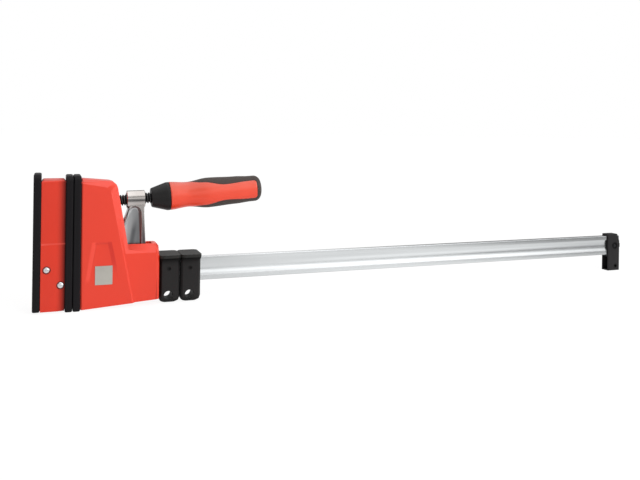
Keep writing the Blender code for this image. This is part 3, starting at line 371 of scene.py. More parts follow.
def skinned(name, rings, finish, sharp=50, closed=False):
    """A skin over rings of equal count: capped at both ends, or closed on its first ring."""
    form = bmesh.new()
    rows = [[form.verts.new(point) for point in ring] for ring in rings]
    pairs = list(zip(rows, rows[1:]))
    if closed:
        pairs.append((rows[-1], rows[0]))
    for row, after in pairs:
        for n in range(len(row)):
            following = (n + 1) % len(row)
            form.faces.new((row[n], row[following], after[following], after[n]))
    if not closed:
        form.faces.new(list(reversed(rows[0])))
        form.faces.new(rows[-1])
    return shaped(name, form, finish, sharp)


def fit(piece, body, slot, *nodes):
    """Set a piece on its body and hide the nodes that it stands for; its slot is not used."""
    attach(piece, body)
    if nodes:
        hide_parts(*nodes)


zinc = surface("zinc_plating", zinc_clear, 0.24, 1.0)
cloud = grain(zinc, (7, 28, 28), 4)
die_lines = grain(zinc, (2.5, 1400, 1400), 3)
hair_lines = grain(zinc, (30, 3200, 3200), 2)
handling = grain(zinc, (45, 160, 160), 6, 0.7)
streaks = grain(zinc, (1.1, 260, 260), 2)
plated = tint(zinc, cloud * 0.35 + die_lines * 0.25 + streaks * 0.4, zinc_dull, zinc_clear)
# Painted shade: down-facing faces along the rail's foot are darker, as if in shade.
underside_shade = facing(zinc, "Z").fall(*facing_down) * position(zinc, "Z").fall(*underside_z)
colour(zinc, tint(zinc, underside_shade, plated, zinc_underside_shade))
gloss(zinc, 0.10 + cloud * 0.10 + handling * 0.16)
relief(zinc, die_lines * 0.7 + hair_lines * 0.3, zinc_relief)

half_y = (rail_high.y - rail_low.y) / 2
half_z = (rail_high.z - rail_low.z) / 2
middle_z = (rail_high.z + rail_low.z) / 2
groove_radius = (groove_half ** 2 + groove_depth ** 2) / (2 * groove_depth)
groove_spread = math.degrees(math.asin(groove_half / groove_radius))
side = arc((half_y - rail_edge, half_z - rail_edge), rail_edge, 90, 0, edge_steps)
side += arc((half_y + groove_radius - groove_depth, 0), groove_radius, 180 - groove_spread,
            180 + groove_spread, groove_steps)
side += arc((half_y - rail_edge, rail_edge - half_z), rail_edge, 0, -90, edge_steps)
profile = side + [(-y, z) for y, z in reversed(side)]
stations = [(rail_low.x, rail_end_chamfer), (rail_low.x + rail_end_chamfer, 0),
            (rail_high.x - rail_end_chamfer, 0), (rail_high.x, rail_end_chamfer)]
rings = [[(x, y * (1 - inset / half_y), middle_z + z * (1 - inset / half_z)) for y, z in profile]
         for x, inset in stations]
fit(skinned("drawn_rail", rings, zinc), "rail", "zinc_plated_rail", "rail")

# Fixed jaw: a hollow shell of red nylon over a casting. It has a moulded satin grain and a crease
# where its lower half stands proud, with a painted highlight along it. Painted shade darkens it
# towards the inner cap and lies in a ring round each of the two rivets that hold it.
fixed_red = (0.640, 0.025, 0.004)
neck_shade_red = (0.06, 0.003, 0.002)
crease_highlight_red = (0.80, 0.11, 0.08)
top_sheen_red = (0.80, 0.100, 0.075)
rivet_shadow = (0.02, 0.008, 0.007)
shell_grain = (0.00045, 0.000009)
rivets = ((-0.4117, 0.0492), (-0.3967, 0.0314))
rivet_ring = (0.0036, 0.0047)
top_sheen_facing = (0.15, 0.40)
neck_x = (-0.4022, -0.3905)
crease_z = 0.0786
crease_reach = (0.0003, 0.0013)
fixed_edge = 0.0004
weld_reach = 0.000002
flat_angle = 0.3
corner_angle = 35
shortest_edge = 0.004
rounding_steps = 2


def occluded(finish, reach, low, high):
    """How much painted shade a point escapes: 0 deep in a corner or gap, 1 on an open face."""
    sockets = {"Distance": reach}
    return finish.node("AmbientOcclusion", {"samples": 8}, sockets, "AO").step(low, high)


def moulded(name, base, roughness, grain_size, grain_depth, drift_share=0.05, gloss_level=0.4,
            corner_reach=0.004, corner_shade_share=0.5):
    """A moulded plastic: fine grain, slight drift of colour, uneven gloss, painted shade in
    corners.
    """
    finish = surface(name, base, roughness, 0.0, {"Specular IOR Level": gloss_level})
    drift = grain(finish, (18, 18, 18), 3)
    pits = grain(finish, (1 / grain_size,) * 3, 4, 0.6)
    darker = tuple(part * (1 - drift_share) for part in base)
    lighter = tuple(min(1, part * (1 + drift_share)) for part in base)
    painted_corner_shade = tuple(part * (1 - corner_shade_share) for part in base)
    open_face = occluded(finish, corner_reach, 0.1, 0.95)
    finish.shaded = tint(finish, open_face, painted_corner_shade, tint(finish, drift, darker, lighter))
    colour(finish, finish.shaded)
    gloss(finish, roughness - 0.05 + drift * 0.06 + pits * 0.06)
    relief(finish, pits, grain_depth)
    return finish


def layered(finish, base, *layers):
    """A colour with others laid over it in turn, each by its share."""
    for share, over in layers:
        base = tint(finish, share, base, over)
    return base


def top_sheen(finish):
    """How far a surface faces up: the upper bevels of the mouldings get a paler painted highlight.
    """
    return facing(finish, "Z").step(*top_sheen_facing)


def sunk(finish, centre_x, centre_z, rim):
    """1 within a round sinking of a side, 0 outside its rim: where painted shade darkens it."""
    aside = position(finish, "X") - centre_x
    above = position(finish, "Z") - centre_z
    return ((aside * aside + above * above) ** 0.5).fall(*rim)


def dressed(node, finish, round_by=0.0, sharp=50, reshape=None):
    """A finer copy of a node: its flats made whole and its long sharp edges rounded."""
    form = bmesh.new()
    form.from_mesh(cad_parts[node].data)
    bmesh.ops.remove_doubles(form, verts=form.verts, dist=weld_reach)
    bmesh.ops.dissolve_limit(form, angle_limit=math.radians(flat_angle), verts=form.verts,
                             edges=form.edges)
    if reshape:
        reshape(form)
    if round_by:
        chosen = [edge for edge in form.edges if edge.is_manifold and edge.is_convex
                  and edge.calc_face_angle() > math.radians(corner_angle)
                  and edge.calc_length() > shortest_edge]
        bmesh.ops.bevel(form, geom=chosen, offset=round_by, offset_type="OFFSET",
                        segments=rounding_steps, profile=0.5, affect="EDGES", clamp_overlap=True)
    return shaped(node + "_shape", form, finish, sharp)


red_fixed = moulded("red_nylon_riveted", fixed_red, 0.40, *shell_grain, gloss_level=0.5)
upper_ring, lower_ring = [sunk(red_fixed, x, z, rivet_ring) for x, z in rivets]
# Painted shade: the shell darkens towards the inner cap.
neck_shade = position(red_fixed, "X").step(*neck_x)
# Painted highlight along the crease.
crease_highlight = abs(position(red_fixed, "Z") - crease_z).fall(*crease_reach)
colour(red_fixed, layered(red_fixed, red_fixed.shaded,
                          (neck_shade * 0.95, neck_shade_red),
                          (crease_highlight * 0.35, crease_highlight_red),
                          (top_sheen(red_fixed) * 0.4, top_sheen_red),
                          (upper_ring.math("MAXIMUM", lower_ring) * 0.9, rivet_shadow)))
gloss(red_fixed, 0.40 + neck_shade * 0.55)
fit(dressed("fixed_jaw_housing", red_fixed, fixed_edge), "rail", "red_moulding",
    "fixed_jaw_housing")

# Core and rivets: a bright casting inside the fixed jaw, which straddles the rail, and two
# turned steel rivets through shell, core and rail, whose heads show on both sides.
cast_low = (0.40, 0.41, 0.42)
cast_high = (0.66, 0.665, 0.67)
cast_relief = 0.00006
turned_base = (0.66, 0.66, 0.67)
turned_dull = (0.58, 0.58, 0.59)
turned_bright = (0.74, 0.74, 0.75)
turned_relief = 0.00001


def coat_node(node, finish):
    """Give a node that keeps its own shape a finish."""
    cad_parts[node].material_slots[0].material = finish.holder


cast_metal = surface("bright_casting", cast_high, 0.26, 1.0)
cast_cloud = grain(cast_metal, (55, 55, 30), 4)
cast_skin = grain(cast_metal, (500, 500, 500), 4, 0.6)
colour(cast_metal, tint(cast_metal, cast_cloud, cast_low, cast_high))
gloss(cast_metal, 0.20 + cast_cloud * 0.12 + cast_skin * 0.10)
relief(cast_metal, cast_skin, cast_relief)
coat_node("fixed_jaw_core", cast_metal)

turned_steel = surface("turned_steel", turned_base, 0.2, 1.0)
turning = grain(turned_steel, (900, 900, 900), 2)
worn = grain(turned_steel, (240, 240, 240), 4)
colour(turned_steel, tint(turned_steel, worn, turned_dull, turned_bright))
gloss(turned_steel, 0.14 + worn * 0.10 + turning * 0.08)
relief(turned_steel, turning, turned_relief)
for node in ("jaw_rivet_upper", "jaw_rivet_lower"):
    fit(dressed(node, turned_steel), "rail", "plain_steel", node)

# Pressure caps: three black polyamide trays that spare the wood, moulded with a fine matt
# grain. Each is forked round the rail, and its rim grips the nose of its jaw.
cap_black = (0.0085, 0.0078, 0.0088)
black_grain = (0.0006, 0.000014)
cap_plastic = moulded("black_polyamide", cap_black, 0.50, *black_grain, drift_share=0.15,
                      gloss_level=0.10, corner_reach=0.004, corner_shade_share=0.6)
for node, body in (("outer_pressure_cap", "rail"), ("fixed_pressure_cap", "rail"),
                   ("sliding_pressure_cap", "sliding_jaw")):
    fit(dressed(node, cap_plastic), body, "black_moulding", node)

# Sliding jaw: a hollow shell of red nylon with rounded edges and a recessed panel in each
# side. The panel's slanted edges carry a painted highlight in front and painted shade behind
# and along the top, and the upper bevels are paler with a painted highlight.
shell_red = (0.725, 0.035, 0.010)
panel_lit = (0.860, 0.066, 0.037)
panel_shade = (0.610, 0.014, 0.002)
shell_edge = 0.0010
panel_top_z = 0.0780
panel_foot_z = 0.0280
panel_front_x = (-0.3595, -0.3673)
panel_rear_x = (-0.3417, -0.3313)
panel_side_y = (0.0175, 0.0185)
panel_fade_z = (panel_foot_z + 0.002, panel_foot_z + 0.010)
panel_end_z = (panel_top_z - 0.0005, panel_top_z + 0.0015)
front_line_from = (-0.0045, -0.0022)
front_line_to = (0.0002, 0.0020)
rear_line_from = (-0.0050, -0.0030)
rear_line_to = (0.0002, 0.0014)
rear_line_z = (0.040, 0.058)
top_line_z = (panel_top_z - 0.0032, panel_top_z - 0.0015)
top_line_from = (-0.001, 0.001)
top_line_to = (-0.006, -0.004)


def beside(finish, top_x, foot_x):
    """How far a point lies behind a slanted edge of the side panel."""
    slant = (foot_x - top_x) / (panel_top_z - panel_foot_z)
    return position(finish, "X") - top_x - (panel_top_z - position(finish, "Z")) * slant


red_shell = moulded("red_nylon", shell_red, 0.40, *shell_grain, gloss_level=0.58,
                    corner_reach=0.0012, corner_shade_share=0.4)
front = beside(red_shell, *panel_front_x)
rear = beside(red_shell, *panel_rear_x)
shell_z = position(red_shell, "Z")
on_panel = abs(position(red_shell, "Y")).step(*panel_side_y) * shell_z.step(*panel_fade_z)
on_panel = on_panel * shell_z.fall(*panel_end_z)
front_edge_highlight = front.between(front_line_from, front_line_to) * on_panel
rear_edge_shade = rear.between(rear_line_from, rear_line_to) * on_panel * shell_z.step(*rear_line_z)
top_edge_shade = shell_z.step(*top_line_z) * on_panel
top_edge_shade = top_edge_shade * front.step(*top_line_from) * rear.fall(*top_line_to)
colour(red_shell, layered(red_shell, red_shell.shaded,
                          (top_sheen(red_shell) * 0.45, top_sheen_red),
                          (front_edge_highlight * 0.75, panel_lit),
                          (rear_edge_shade * 0.8 + top_edge_shade * 0.4, panel_shade)))
fit(dressed("sliding_jaw_housing", red_shell, shell_edge), "sliding_jaw", "red_moulding",
    "sliding_jaw_housing")

# Badge: a bare square plate of satin aluminium, punched from sheet, brushed along the rail and
# glued on to the near side's panel, whose lean it follows.
badge_low = (-0.3593, 0.0290)
badge_high = (-0.3398, 0.0507)
badge_foot_y = -0.0204
badge_top_y = -0.0194
badge_thickness = 0.0012
badge_corner = 0.0006
badge_bevel = 0.0002
badge_back_bevel = 0.0001
satin_base = (0.50, 0.48, 0.43)
satin_dull = (0.44, 0.425, 0.385)
satin_bright = (0.56, 0.54, 0.49)
satin_relief = 0.00001


def badge_ring(inset, depth):
    """One outline of the plate, drawn in by inset, at a depth behind its face."""
    x0, z0 = badge_low[0] + inset, badge_low[1] + inset
    x1, z1 = badge_high[0] - inset, badge_high[1] - inset
    points = arc((x1 - badge_corner, z1 - badge_corner), badge_corner, 90, 0, edge_steps)
    points += arc((x1 - badge_corner, z0 + badge_corner), badge_corner, 0, -90, edge_steps)
    points += arc((x0 + badge_corner, z0 + badge_corner), badge_corner, -90, -180, edge_steps)
    points += arc((x0 + badge_corner, z1 - badge_corner), badge_corner, 180, 90, edge_steps)
    lean = (badge_top_y - badge_foot_y) / (badge_high[1] - badge_low[1])
    return [(x, badge_foot_y + (z - badge_low[1]) * lean + depth, z) for x, z in points]


satin = surface("satin_aluminium", satin_base, 0.4, 1.0)
brushing = grain(satin, (60, 60, 2600), 3)
spots = grain(satin, (120, 120, 120), 4)
colour(satin, tint(satin, spots, satin_dull, satin_bright))
gloss(satin, 0.36 + brushing * 0.14)
relief(satin, brushing, satin_relief)
rings = [badge_ring(badge_bevel, badge_thickness),
         badge_ring(0, badge_thickness - badge_back_bevel),
         badge_ring(0, badge_bevel), badge_ring(badge_bevel, 0)]
fit(skinned("badge_plate", rings, satin), "sliding_jaw", "plain_steel")

# Inside the sliding jaw: a bright cast plate that takes the spindle's push, and two guides
# round the rail and a brake shoe of natural polyamide. A steel leaf spring pushes the shoe up.
guide_natural = (0.55, 0.54, 0.50)
guide_grain = (0.0008, 0.00001)
guide_plastic = moulded("natural_polyamide", guide_natural, 0.42, *guide_grain)
coat_node("sliding_jaw_core", cast_metal)
for node in ("front_rail_guide", "rear_rail_guide", "brake_shoe"):
    coat_node(node, guide_plastic)
coat_node("brake_spring", turned_steel)

# Slide arm: a bright zinc plated casting that tilts on the rail when the spindle pulls. Its rim
# and boss are ground smooth, and the hollow in each side keeps its darker cast skin. Over both
# lies painted light: paler metal upwards and at the front, highlights and shade in the hollow.
arm_base = (0.70, 0.70, 0.69)
arm_relief = 0.00008
arm_edge = 0.0005
arm_sharp = 28
arm_height_z = (0.0720, 0.1227)
ahead_x = (-0.3240, -0.3100)
hollow_rim_y = (0.0070, 0.0076)
hollow_top_z = (0.1177, 0.1187)
below_boss_z = (0.1185, 0.1190)
low_metal_shade = (0.17, 0.135, 0.140)
high_metal_lit = (0.48, 0.45, 0.43)
front_metal_lit = (0.62, 0.59, 0.57)
boss_band_foot = (0.1210, 0.1266)
boss_band_rim = (0.1270, 0.1276)
boss_reflection_dark = (0.06, 0.062, 0.066)
hollow_dark = (0.078, 0.081, 0.088)
hollow_pale = (0.55, 0.555, 0.56)
hollow_front_x = (-0.3268, -0.3205)
hollow_front_lit = (0.92, 0.93, 0.94)
streak_place = (-0.3156, 0.0856)
streak_lean = 0.14
streak_reach = (0.0004, 0.0044)
streak_fade_z = (0.0860, 0.1040)
streak_shade = (0.045, 0.050, 0.058)
arch_centre = (-0.3142, 0.1094)
arch_radius = 0.0072
arch_growth = 1.10
arch_lift = 0.0013
arch_foot = -0.0001
arch_side_top = 0.0030
hollow_floor_y = 0.0045
hollow_fillet_y = 0.0060
wall_widening = 0.0011
lip_facing = (0.25, 0.60)
lip_highlight = (0.80, 0.80, 0.80)
fillet_from = (0.0034, 0.0046)
fillet_to = (0.0052, 0.0056)
fillet_above = (-0.002, 0.001)
fillet_highlight = (0.86, 0.86, 0.86)
wall_foot = (0.00525, 0.0056)
wall_rim = (0.0078, 0.00798)
wall_from = (-0.0050, -0.0020)
wall_to = (0.0080, 0.0084)
wall_shade = (0.150, 0.108, 0.104)
arm_corner = (0.0035, 0.15, 0.9)
arm_corner_shade = (0.05, 0.035, 0.035)
arm_metal = surface("ground_casting", arm_base, 0.16, 1.0)
arm_cloud = grain(arm_metal, (90, 90, 22), 4)
arm_skin = grain(arm_metal, (420, 420, 420), 4, 0.6)
grinding = grain(arm_metal, (1500, 1500, 60), 2)
arm_x = position(arm_metal, "X")
arm_z = position(arm_metal, "Z")
arm_depth = abs(position(arm_metal, "Y"))
# Painted light: the metal is paler upwards and towards the front.
height = arm_z.step(*arm_height_z)
ahead = arm_x.fall(*ahead_x)
hollow = arm_depth.fall(*hollow_rim_y) * arm_z.fall(*hollow_top_z)
below_boss = arm_z.fall(*below_boss_z)

# A painted dark reflection band runs along the boss.
boss_reflection_band = arm_z.between(boss_band_foot, boss_band_rim)
ground_part_lit = layered(arm_metal, tint(arm_metal, height, low_metal_shade, high_metal_lit),
                      (ahead * 0.6, front_metal_lit), (boss_reflection_band * 0.70, boss_reflection_dark))

# The hollow: its darker cast skin with cloud, painted light that pales it upwards and at the
# front, and a streak of painted shade.
cloud_and_light_share = arm_cloud * 0.40 + height * 0.25 + ahead * 0.45 + 0.12
off_streak = arm_x - streak_place[0] - (arm_z - streak_place[1]) * streak_lean
shade_streak = abs(off_streak).fall(*streak_reach) * arm_z.fall(*streak_fade_z)
hollow_cast_and_shade = layered(arm_metal, tint(arm_metal, cloud_and_light_share, hollow_dark, hollow_pale),
                 (arm_x.fall(*hollow_front_x) * 0.8, hollow_front_lit),
                 (shade_streak * 0.60, streak_shade))

from_x = arm_x - arch_centre[0]
from_z = arm_z - arch_centre[1] - arch_lift
around = (from_x ** 2 + from_z ** 2) ** 0.5
# Painted highlights on the lip and the fillet, painted shade on the hollow's upper wall and in
# corners.
lip = facing(arm_metal, "X").step(*lip_facing) * below_boss
fillet = around.between(fillet_from, fillet_to) * hollow * from_z.step(*fillet_above)
wall = arm_depth.between(wall_foot, wall_rim) * below_boss * from_x.between(wall_from, wall_to)
open_part = layered(arm_metal, tint(arm_metal, hollow, ground_part_lit, hollow_cast_and_shade),
                    (lip * 0.7, lip_highlight), (fillet * 0.45, fillet_highlight), (wall, wall_shade))
open_face = occluded(arm_metal, *arm_corner)
colour(arm_metal, tint(arm_metal, open_face, arm_corner_shade, open_part))
gloss(arm_metal, 0.13 + grinding * 0.08 + hollow * 0.12 + arm_skin * 0.06)
relief(arm_metal, arm_skin * (0.25 + hollow * 0.75) + grinding * 0.1, arm_relief)


def raise_arch(form):
    """Widen the arch at the top of both hollows and raise it close under the boss."""
    centre_x, centre_z = arch_centre
    for vert in form.verts:
        x, z = vert.co.x - centre_x, vert.co.z - centre_z
        depth = abs(vert.co.y)
        if depth > hollow_floor_y and z > arch_foot and math.hypot(x, z) < arch_radius:
            vert.co.x = centre_x + x * arch_growth
            vert.co.z = centre_z + z * arch_growth + arch_lift
        if hollow_floor_y < depth < hollow_fillet_y and x > arch_radius / 3 and z < arch_side_top:
            vert.co.x -= wall_widening


fit(dressed("slide_arm", arm_metal, arm_edge, arm_sharp, raise_arch), "slide_arm",
    "bright_casting", "slide_arm")

# Nut and bite plates: a turned steel bush, pressed into the arm's boss, and two hardened
# strips that bite on the rail above and below. The strips are black oxided and oiled.
black_base = (0.028, 0.028, 0.031)
black_dry = (0.020, 0.020, 0.023)
black_oiled = (0.045, 0.045, 0.048)
black_relief = 0.000012
coat_node("spindle_nut", turned_steel)
black_steel = surface("blackened_steel", black_base, 0.34, 0.85)
oil = grain(black_steel, (160, 160, 160), 3)
rub = grain(black_steel, (900, 900, 900), 3)
colour(black_steel, tint(black_steel, oil, black_dry, black_oiled))
gloss(black_steel, 0.24 + oil * 0.16)
relief(black_steel, rub, black_relief)
coat_node("upper_bite_plate", black_steel)
coat_node("lower_bite_plate", black_steel)

# Spindle: a blackened steel screw with a rolled, rounded thread, tilted up towards the
# handle. Its nose turns in a swivel pad in the jaw's thrust socket, both of turned steel.
axis_place = Vector((-0.3126, 0.0, 0.1258))
axis_tilt = math.radians(4.2)
thread_pitch = 0.0030
thread_crest = 0.0065
thread_root = 0.0050
thread_root_half = 0.12
thread_flank = 0.22
thread_start = -0.0408
thread_end = 0.0536
journal_start = -0.0450
journal_radius = 0.0040
thread_sides = 40
thread_steps = 10
thread_base = (0.020, 0.020, 0.022)
thread_black = (0.016, 0.016, 0.018)
thread_rubbed = (0.11, 0.108, 0.105)
thread_relief = 0.000015
rubbed_radius = (thread_crest - 0.0005, thread_crest)
on_axis = Matrix.Translation(axis_place) @ Matrix.Rotation(-axis_tilt, 4, "Y")


def round_ring(along, radius_at, sides):
    """A ring of points round the spindle's axis; radius_at gives the radius at an angle."""
    ring = []
    for n in range(sides):
        turn = 2 * math.pi * n / sides
        radius = radius_at(turn)
        ring.append(on_axis @ Vector((along, radius * math.cos(turn), radius * math.sin(turn))))
    return ring


def thread_radius(along, turn):
    """Rounded thread: flat crest and root, eased flanks between, fading at both ends."""
    phase = (along / thread_pitch - turn / (2 * math.pi)) % 1
    ramp = min(1, max(0, (abs(phase - 0.5) - thread_root_half) / thread_flank))
    rise = (1 - math.cos(math.pi * ramp)) / 2
    fade = min(1, (along - thread_start) / thread_pitch, (thread_end - along) / thread_pitch)
    return thread_root + (thread_crest - thread_root) * rise * fade


count = round((thread_end - thread_start) / thread_pitch * thread_steps)
rings = [round_ring(journal_start, lambda turn: journal_radius, thread_sides),
         round_ring(thread_start, lambda turn: journal_radius, thread_sides)]
for n in range(count + 1):
    at = thread_start + (thread_end - thread_start) * n / count
    rings.append(round_ring(at, lambda turn, at=at: thread_radius(at, turn), thread_sides))
thread_steel = surface("blackened_thread", thread_base, 0.32, 0.8)
film = grain(thread_steel, (300, 300, 300), 3)
tilt_rise = (position(thread_steel, "X") - axis_place.x) * math.tan(axis_tilt)
off_axis = (position(thread_steel, "Z") - axis_place.z - tilt_rise) * math.cos(axis_tilt)
from_axis = (off_axis ** 2 + position(thread_steel, "Y") ** 2) ** 0.5
crest = from_axis.step(*rubbed_radius)
colour(thread_steel, tint(thread_steel, crest * film, thread_black, thread_rubbed))
gloss(thread_steel, 0.38 - crest * 0.12 + film * 0.08)
relief(thread_steel, film, thread_relief)
fit(skinned("threaded_spindle", rings, thread_steel, sharp=60), "spindle", "blackened_steel",
    "spindle")
coat_node("thrust_socket", turned_steel)
coat_node("thrust_pad", turned_steel)

# Ferrule: the flared collar of black polyamide between spindle and grip. It is moulded with a
# round nose, a bore for the spindle and a hollow behind for the grip's neck.
ferrule_black = (0.0115, 0.0110, 0.0110)
ferrule_at = 0.0181
ferrule_nose = 0.0119
ferrule_nose_at = 0.0198
nose_face_inset = 0.0024
nose_round_inset = 0.0016
nose_round = 0.0014
nose_steps = 5
ferrule_rim = 0.01715
ferrule_shoulder_at = 0.0369
shoulder_run = 0.0008
shoulder_drop = 0.0002
ferrule_stop = 0.0400
ferrule_chamfer = 0.0005
ferrule_bore = 0.0068
ferrule_inner = 0.0115
ferrule_inner_at = 0.0248
ferrule_sides = 96
ferrule_profile = [(ferrule_at, ferrule_bore), (ferrule_at, ferrule_nose - nose_face_inset)]
ferrule_profile += arc((ferrule_at + nose_round, ferrule_nose - nose_round_inset), nose_round,
                       180, 100, nose_steps)
ferrule_profile += [
    (ferrule_nose_at, ferrule_nose),
    (ferrule_shoulder_at - shoulder_run, ferrule_rim - shoulder_drop),
    (ferrule_shoulder_at, ferrule_rim),
    (ferrule_stop - ferrule_chamfer, ferrule_rim),
    (ferrule_stop, ferrule_rim - ferrule_chamfer),
    (ferrule_stop, ferrule_inner),
    (ferrule_inner_at, ferrule_inner),
    (ferrule_inner_at, ferrule_bore),
]
rings = [round_ring(at, lambda turn, radius=radius: radius, ferrule_sides)
         for at, radius in ferrule_profile]
ferrule_plastic = moulded("ferrule_polyamide", ferrule_black, 0.44, *black_grain,
                          drift_share=0.15, gloss_level=0.20)
fit(skinned("ferrule", rings, ferrule_plastic, sharp=40, closed=True), "spindle",
    "black_moulding", "handle_ferrule")

# Grip: red hard plastic with soft black rubber moulded over its top, underside and round end.
# The red shows as a full ring behind the ferrule and as a waisted field on each side.
grip_start = 0.0403
grip_stations = ((grip_start, 0.01715), (0.0620, 0.01535), (0.0880, 0.0185), (0.1220, 0.0173),
                 (0.1420, 0.0162))
grip_tip = 0.1548
grip_rounding = 0.0080
tip_flat = 0.00002
field_start = 0.0640
field_stations = ((field_start, 0.0155), (0.0800, 0.0142), (0.1080, 0.0098), (0.1380, 0.0112))
field_stop = 0.1477
field_rounding = 0.0030
widest_field = 0.9975
parting = 0.00012
grip_wall = 0.0014
side_columns = 26
top_columns = 22
ring_rows = 18
field_rows = 84
end_rows = 16
grip_red = (0.700, 0.072, 0.034)
grip_red_top_sheen = (0.660, 0.090, 0.052)
grip_red_lit_below = (0.800, 0.046, 0.010)
grip_facing = (-0.55, 0.65)
hard_grain = (0.0005, 0.000006)
grip_black = (0.052, 0.040, 0.036)
rubber_grain = (0.0004, 0.000022)


def eased(stations, along):
    """A height that eases from station to station."""
    if along <= stations[0][0]:
        return stations[0][1]
    for (start, before), (end, after) in zip(stations, stations[1:]):
        if along <= end:
            share = (1 - math.cos(math.pi * (along - start) / (end - start))) / 2
            return before + (after - before) * share
    return stations[-1][1]


def grip_radius(along):
    """The grip's radius, rounded off at its end."""
    level_end = grip_tip - grip_rounding
    radius = eased(grip_stations, min(along, level_end))
    if along > level_end:
        past = (along - level_end) / grip_rounding
        radius -= grip_rounding * (1 - math.sqrt(max(0, 1 - past * past)))
    return radius


def field_half(along):
    """Half the height of the red field, rounded off at its end."""
    half = eased(field_stations, along)
    into = along - (field_stop - field_rounding)
    if into > 0:
        share = min(1, into / field_rounding)
        half -= field_rounding * (1 - math.sqrt(max(0, 1 - share * share)))
    return half


def grip_columns(along, shift):
    """Angles of one row: evenly over both red fields and over the black between them."""
    red_half = math.asin(min(widest_field, field_half(along) / grip_radius(along)))
    red_half += shift / grip_radius(along)
    black_half = math.pi / 2 - red_half
    turns = []
    for middle, half, columns in ((math.pi, red_half, side_columns),
                                  (1.5 * math.pi, black_half, top_columns),
                                  (0, red_half, side_columns),
                                  (0.5 * math.pi, black_half, top_columns)):
        turns += [middle + half * (2 * n / columns - 1) for n in range(columns)]
    return turns


def grip_part(name, rows, chosen, shift, finish):
    """The faces of the grip that a test picks, as a thin closed shell."""
    form = bmesh.new()
    grid = []
    for along in rows:
        radius = grip_radius(along)
        points = [(along, radius * math.cos(turn), radius * math.sin(turn))
                  for turn in grip_columns(along, shift)]
        grid.append([form.verts.new(on_axis @ Vector(point)) for point in points])
    for (start, row), (end, after) in zip(zip(rows, grid), zip(rows[1:], grid[1:])):
        for n in range(len(row)):
            if chosen((start + end) / 2, n):
                following = (n + 1) % len(row)
                form.faces.new((row[n], row[following], after[following], after[n]))
    if chosen(grip_tip, 0):
        form.faces.new(grid[-1])
    loose = [vert for vert in form.verts if not vert.link_faces]
    bmesh.ops.delete(form, geom=loose, context="VERTS")
    piece = shaped(name, form, finish, sharp=60)
    wall = piece.modifiers.new("wall", "SOLIDIFY")
    wall.thickness = grip_wall
    wall.offset = -1
    piece.modifiers.move(1, 0)
    return piece


def in_field(n):
    """Whether a column of faces lies in one of the two red fields."""
    return n < side_columns or side_columns + top_columns <= n < 2 * side_columns + top_columns


def is_red(along, n):
    return along < field_start or (along < field_stop and in_field(n))


def is_black(along, n):
    return along > field_stop or not in_field(n)


grip_hard = moulded("red_hard_plastic", grip_red, 0.30, *hard_grain, drift_share=0.04,
                    gloss_level=0.60, corner_reach=0.002, corner_shade_share=0.3)
# Painted light: the grip's upper side has a paler painted sheen and its underside a brighter red,
# as if lit from below.
top_sheen_grip = tint(grip_hard, 0.55, grip_hard.shaded, grip_red_top_sheen)
over = facing(grip_hard, "Z").step(*grip_facing)
colour(grip_hard, tint(grip_hard, over, grip_red_lit_below, top_sheen_grip))
grip_soft = moulded("soft_black_rubber", grip_black, 0.62, *rubber_grain, drift_share=0.12,
                    gloss_level=0.25, corner_reach=0.002, corner_shade_share=0.4)
ring_at = [grip_start + (field_start - grip_start) * n / ring_rows for n in range(ring_rows)]
field_at = [field_start + (field_stop - field_start) * n / field_rows for n in range(field_rows)]
end_at = [field_stop + (grip_tip - field_stop) * math.sin(math.pi / 2 * n / end_rows)
          for n in range(1, end_rows)]
red_at = ring_at + field_at + [field_stop - parting]
black_at = field_at + [field_stop + parting] + end_at + [grip_tip - tip_flat]
fit(grip_part("red_grip", red_at, is_red, -parting, grip_hard), "spindle", "red_moulding",
    "handle_grip_core")
fit(grip_part("soft_grip", black_at, is_black, parting, grip_soft), "spindle",
    "soft_black_grip", "handle_soft_grip")

# Rail supports: two black polyamide stands with wide top plates, loose on the rail behind the
# jaw. A cross hole near the foot takes a screw, and each side has a shallow dimple higher up.
support_black = (0.0228, 0.0218, 0.0218)
under_plate_shadow = (0.0015, 0.0015, 0.0015)
support_sinking_shade = (0.0025, 0.0024, 0.0024)
plate_lit_black = (0.0265, 0.0260, 0.0250)
plate_foot_z = (0.0553, 0.0556)
under_plate_z = (0.0468, 0.0553)
support_edge = 0.0004
screw_holes_x = (-0.2738, -0.2485)
screw_holes_z = 0.0096
screw_hole_reach = 0.0056
screw_hole_growth = 1.20
screw_bore_rim = (0.0053, 0.0058)
dimples_x = (-0.2734, -0.2481)
dimples_z = 0.0418
dimple_rim = (0.0012, 0.0036)
support_plastic = moulded("support_polyamide", support_black, 0.50, *black_grain,
                          drift_share=0.15, gloss_level=0.08, corner_reach=0.009,
                          corner_shade_share=0.9)
support_z = position(support_plastic, "Z")
bores = [sunk(support_plastic, x, screw_holes_z, screw_bore_rim) for x in screw_holes_x]
dimples = [sunk(support_plastic, x, dimples_z, dimple_rim) for x in dimples_x]
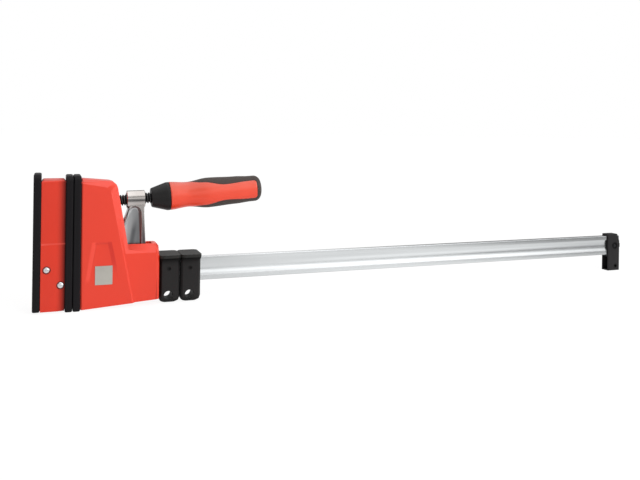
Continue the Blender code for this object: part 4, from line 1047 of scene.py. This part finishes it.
sinking_shade = bores[0] + bores[1] + (dimples[0] + dimples[1]) * 0.6
# Painted shade: a shadow under the top plate and darker bores and dimples; the plate itself is
# painted a little paler, as if lit from above.
colour(support_plastic, layered(support_plastic, support_plastic.shaded,
                                (support_z.step(*under_plate_z) * 0.95, under_plate_shadow),
                                (support_z.step(*plate_foot_z), plate_lit_black),
                                (sinking_shade, support_sinking_shade)))


def open_hole(form):
    """Open the cross hole a little wider than the node has it."""
    for vert in form.verts:
        for x in screw_holes_x:
            if math.hypot(vert.co.x - x, vert.co.z - screw_holes_z) < screw_hole_reach:
                vert.co.x = x + (vert.co.x - x) * screw_hole_growth
                vert.co.z = screw_holes_z + (vert.co.z - screw_holes_z) * screw_hole_growth


for node, body in (("front_rail_support", "front_support"), ("rear_rail_support", "rear_support")):
    fit(dressed(node, support_plastic, support_edge, reshape=open_hole), body, "black_moulding",
        node)

# End foot: a black polyamide block with a hollow lower part, pushed on to the rail's end and
# held by a steel pin in a round sinking.
foot_black = (0.0195, 0.0185, 0.0195)
foot_sinking_shade = (0.0016, 0.0016, 0.0018)
foot_ring = (0.0040, 0.0060)
foot_socket = (0.0020, 0.0044)
foot_socket_back = 0.0017
foot_socket_z = 0.0070
foot_edge = 0.0003
foot_plastic = moulded("foot_polyamide", foot_black, 0.50, *black_grain, drift_share=0.15,
                       gloss_level=0.12, corner_reach=0.006, corner_shade_share=0.8)
pin_low, pin_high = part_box("foot_lock_pin")
pin_x = (pin_low.x + pin_high.x) / 2
pin_z = (pin_low.z + pin_high.z) / 2
# Painted shade darkens a ring round the pin and a round spot beside it.
pin_ring_shade = sunk(foot_plastic, pin_x, pin_z, foot_ring)
socket = sunk(foot_plastic, pin_x + foot_socket_back, foot_socket_z, foot_socket)
colour(foot_plastic, tint(foot_plastic, pin_ring_shade + socket, foot_plastic.shaded, foot_sinking_shade))
fit(dressed("rail_end_foot", foot_plastic, foot_edge), "rail", "black_moulding", "rail_end_foot")
coat_node("foot_lock_pin", black_steel)
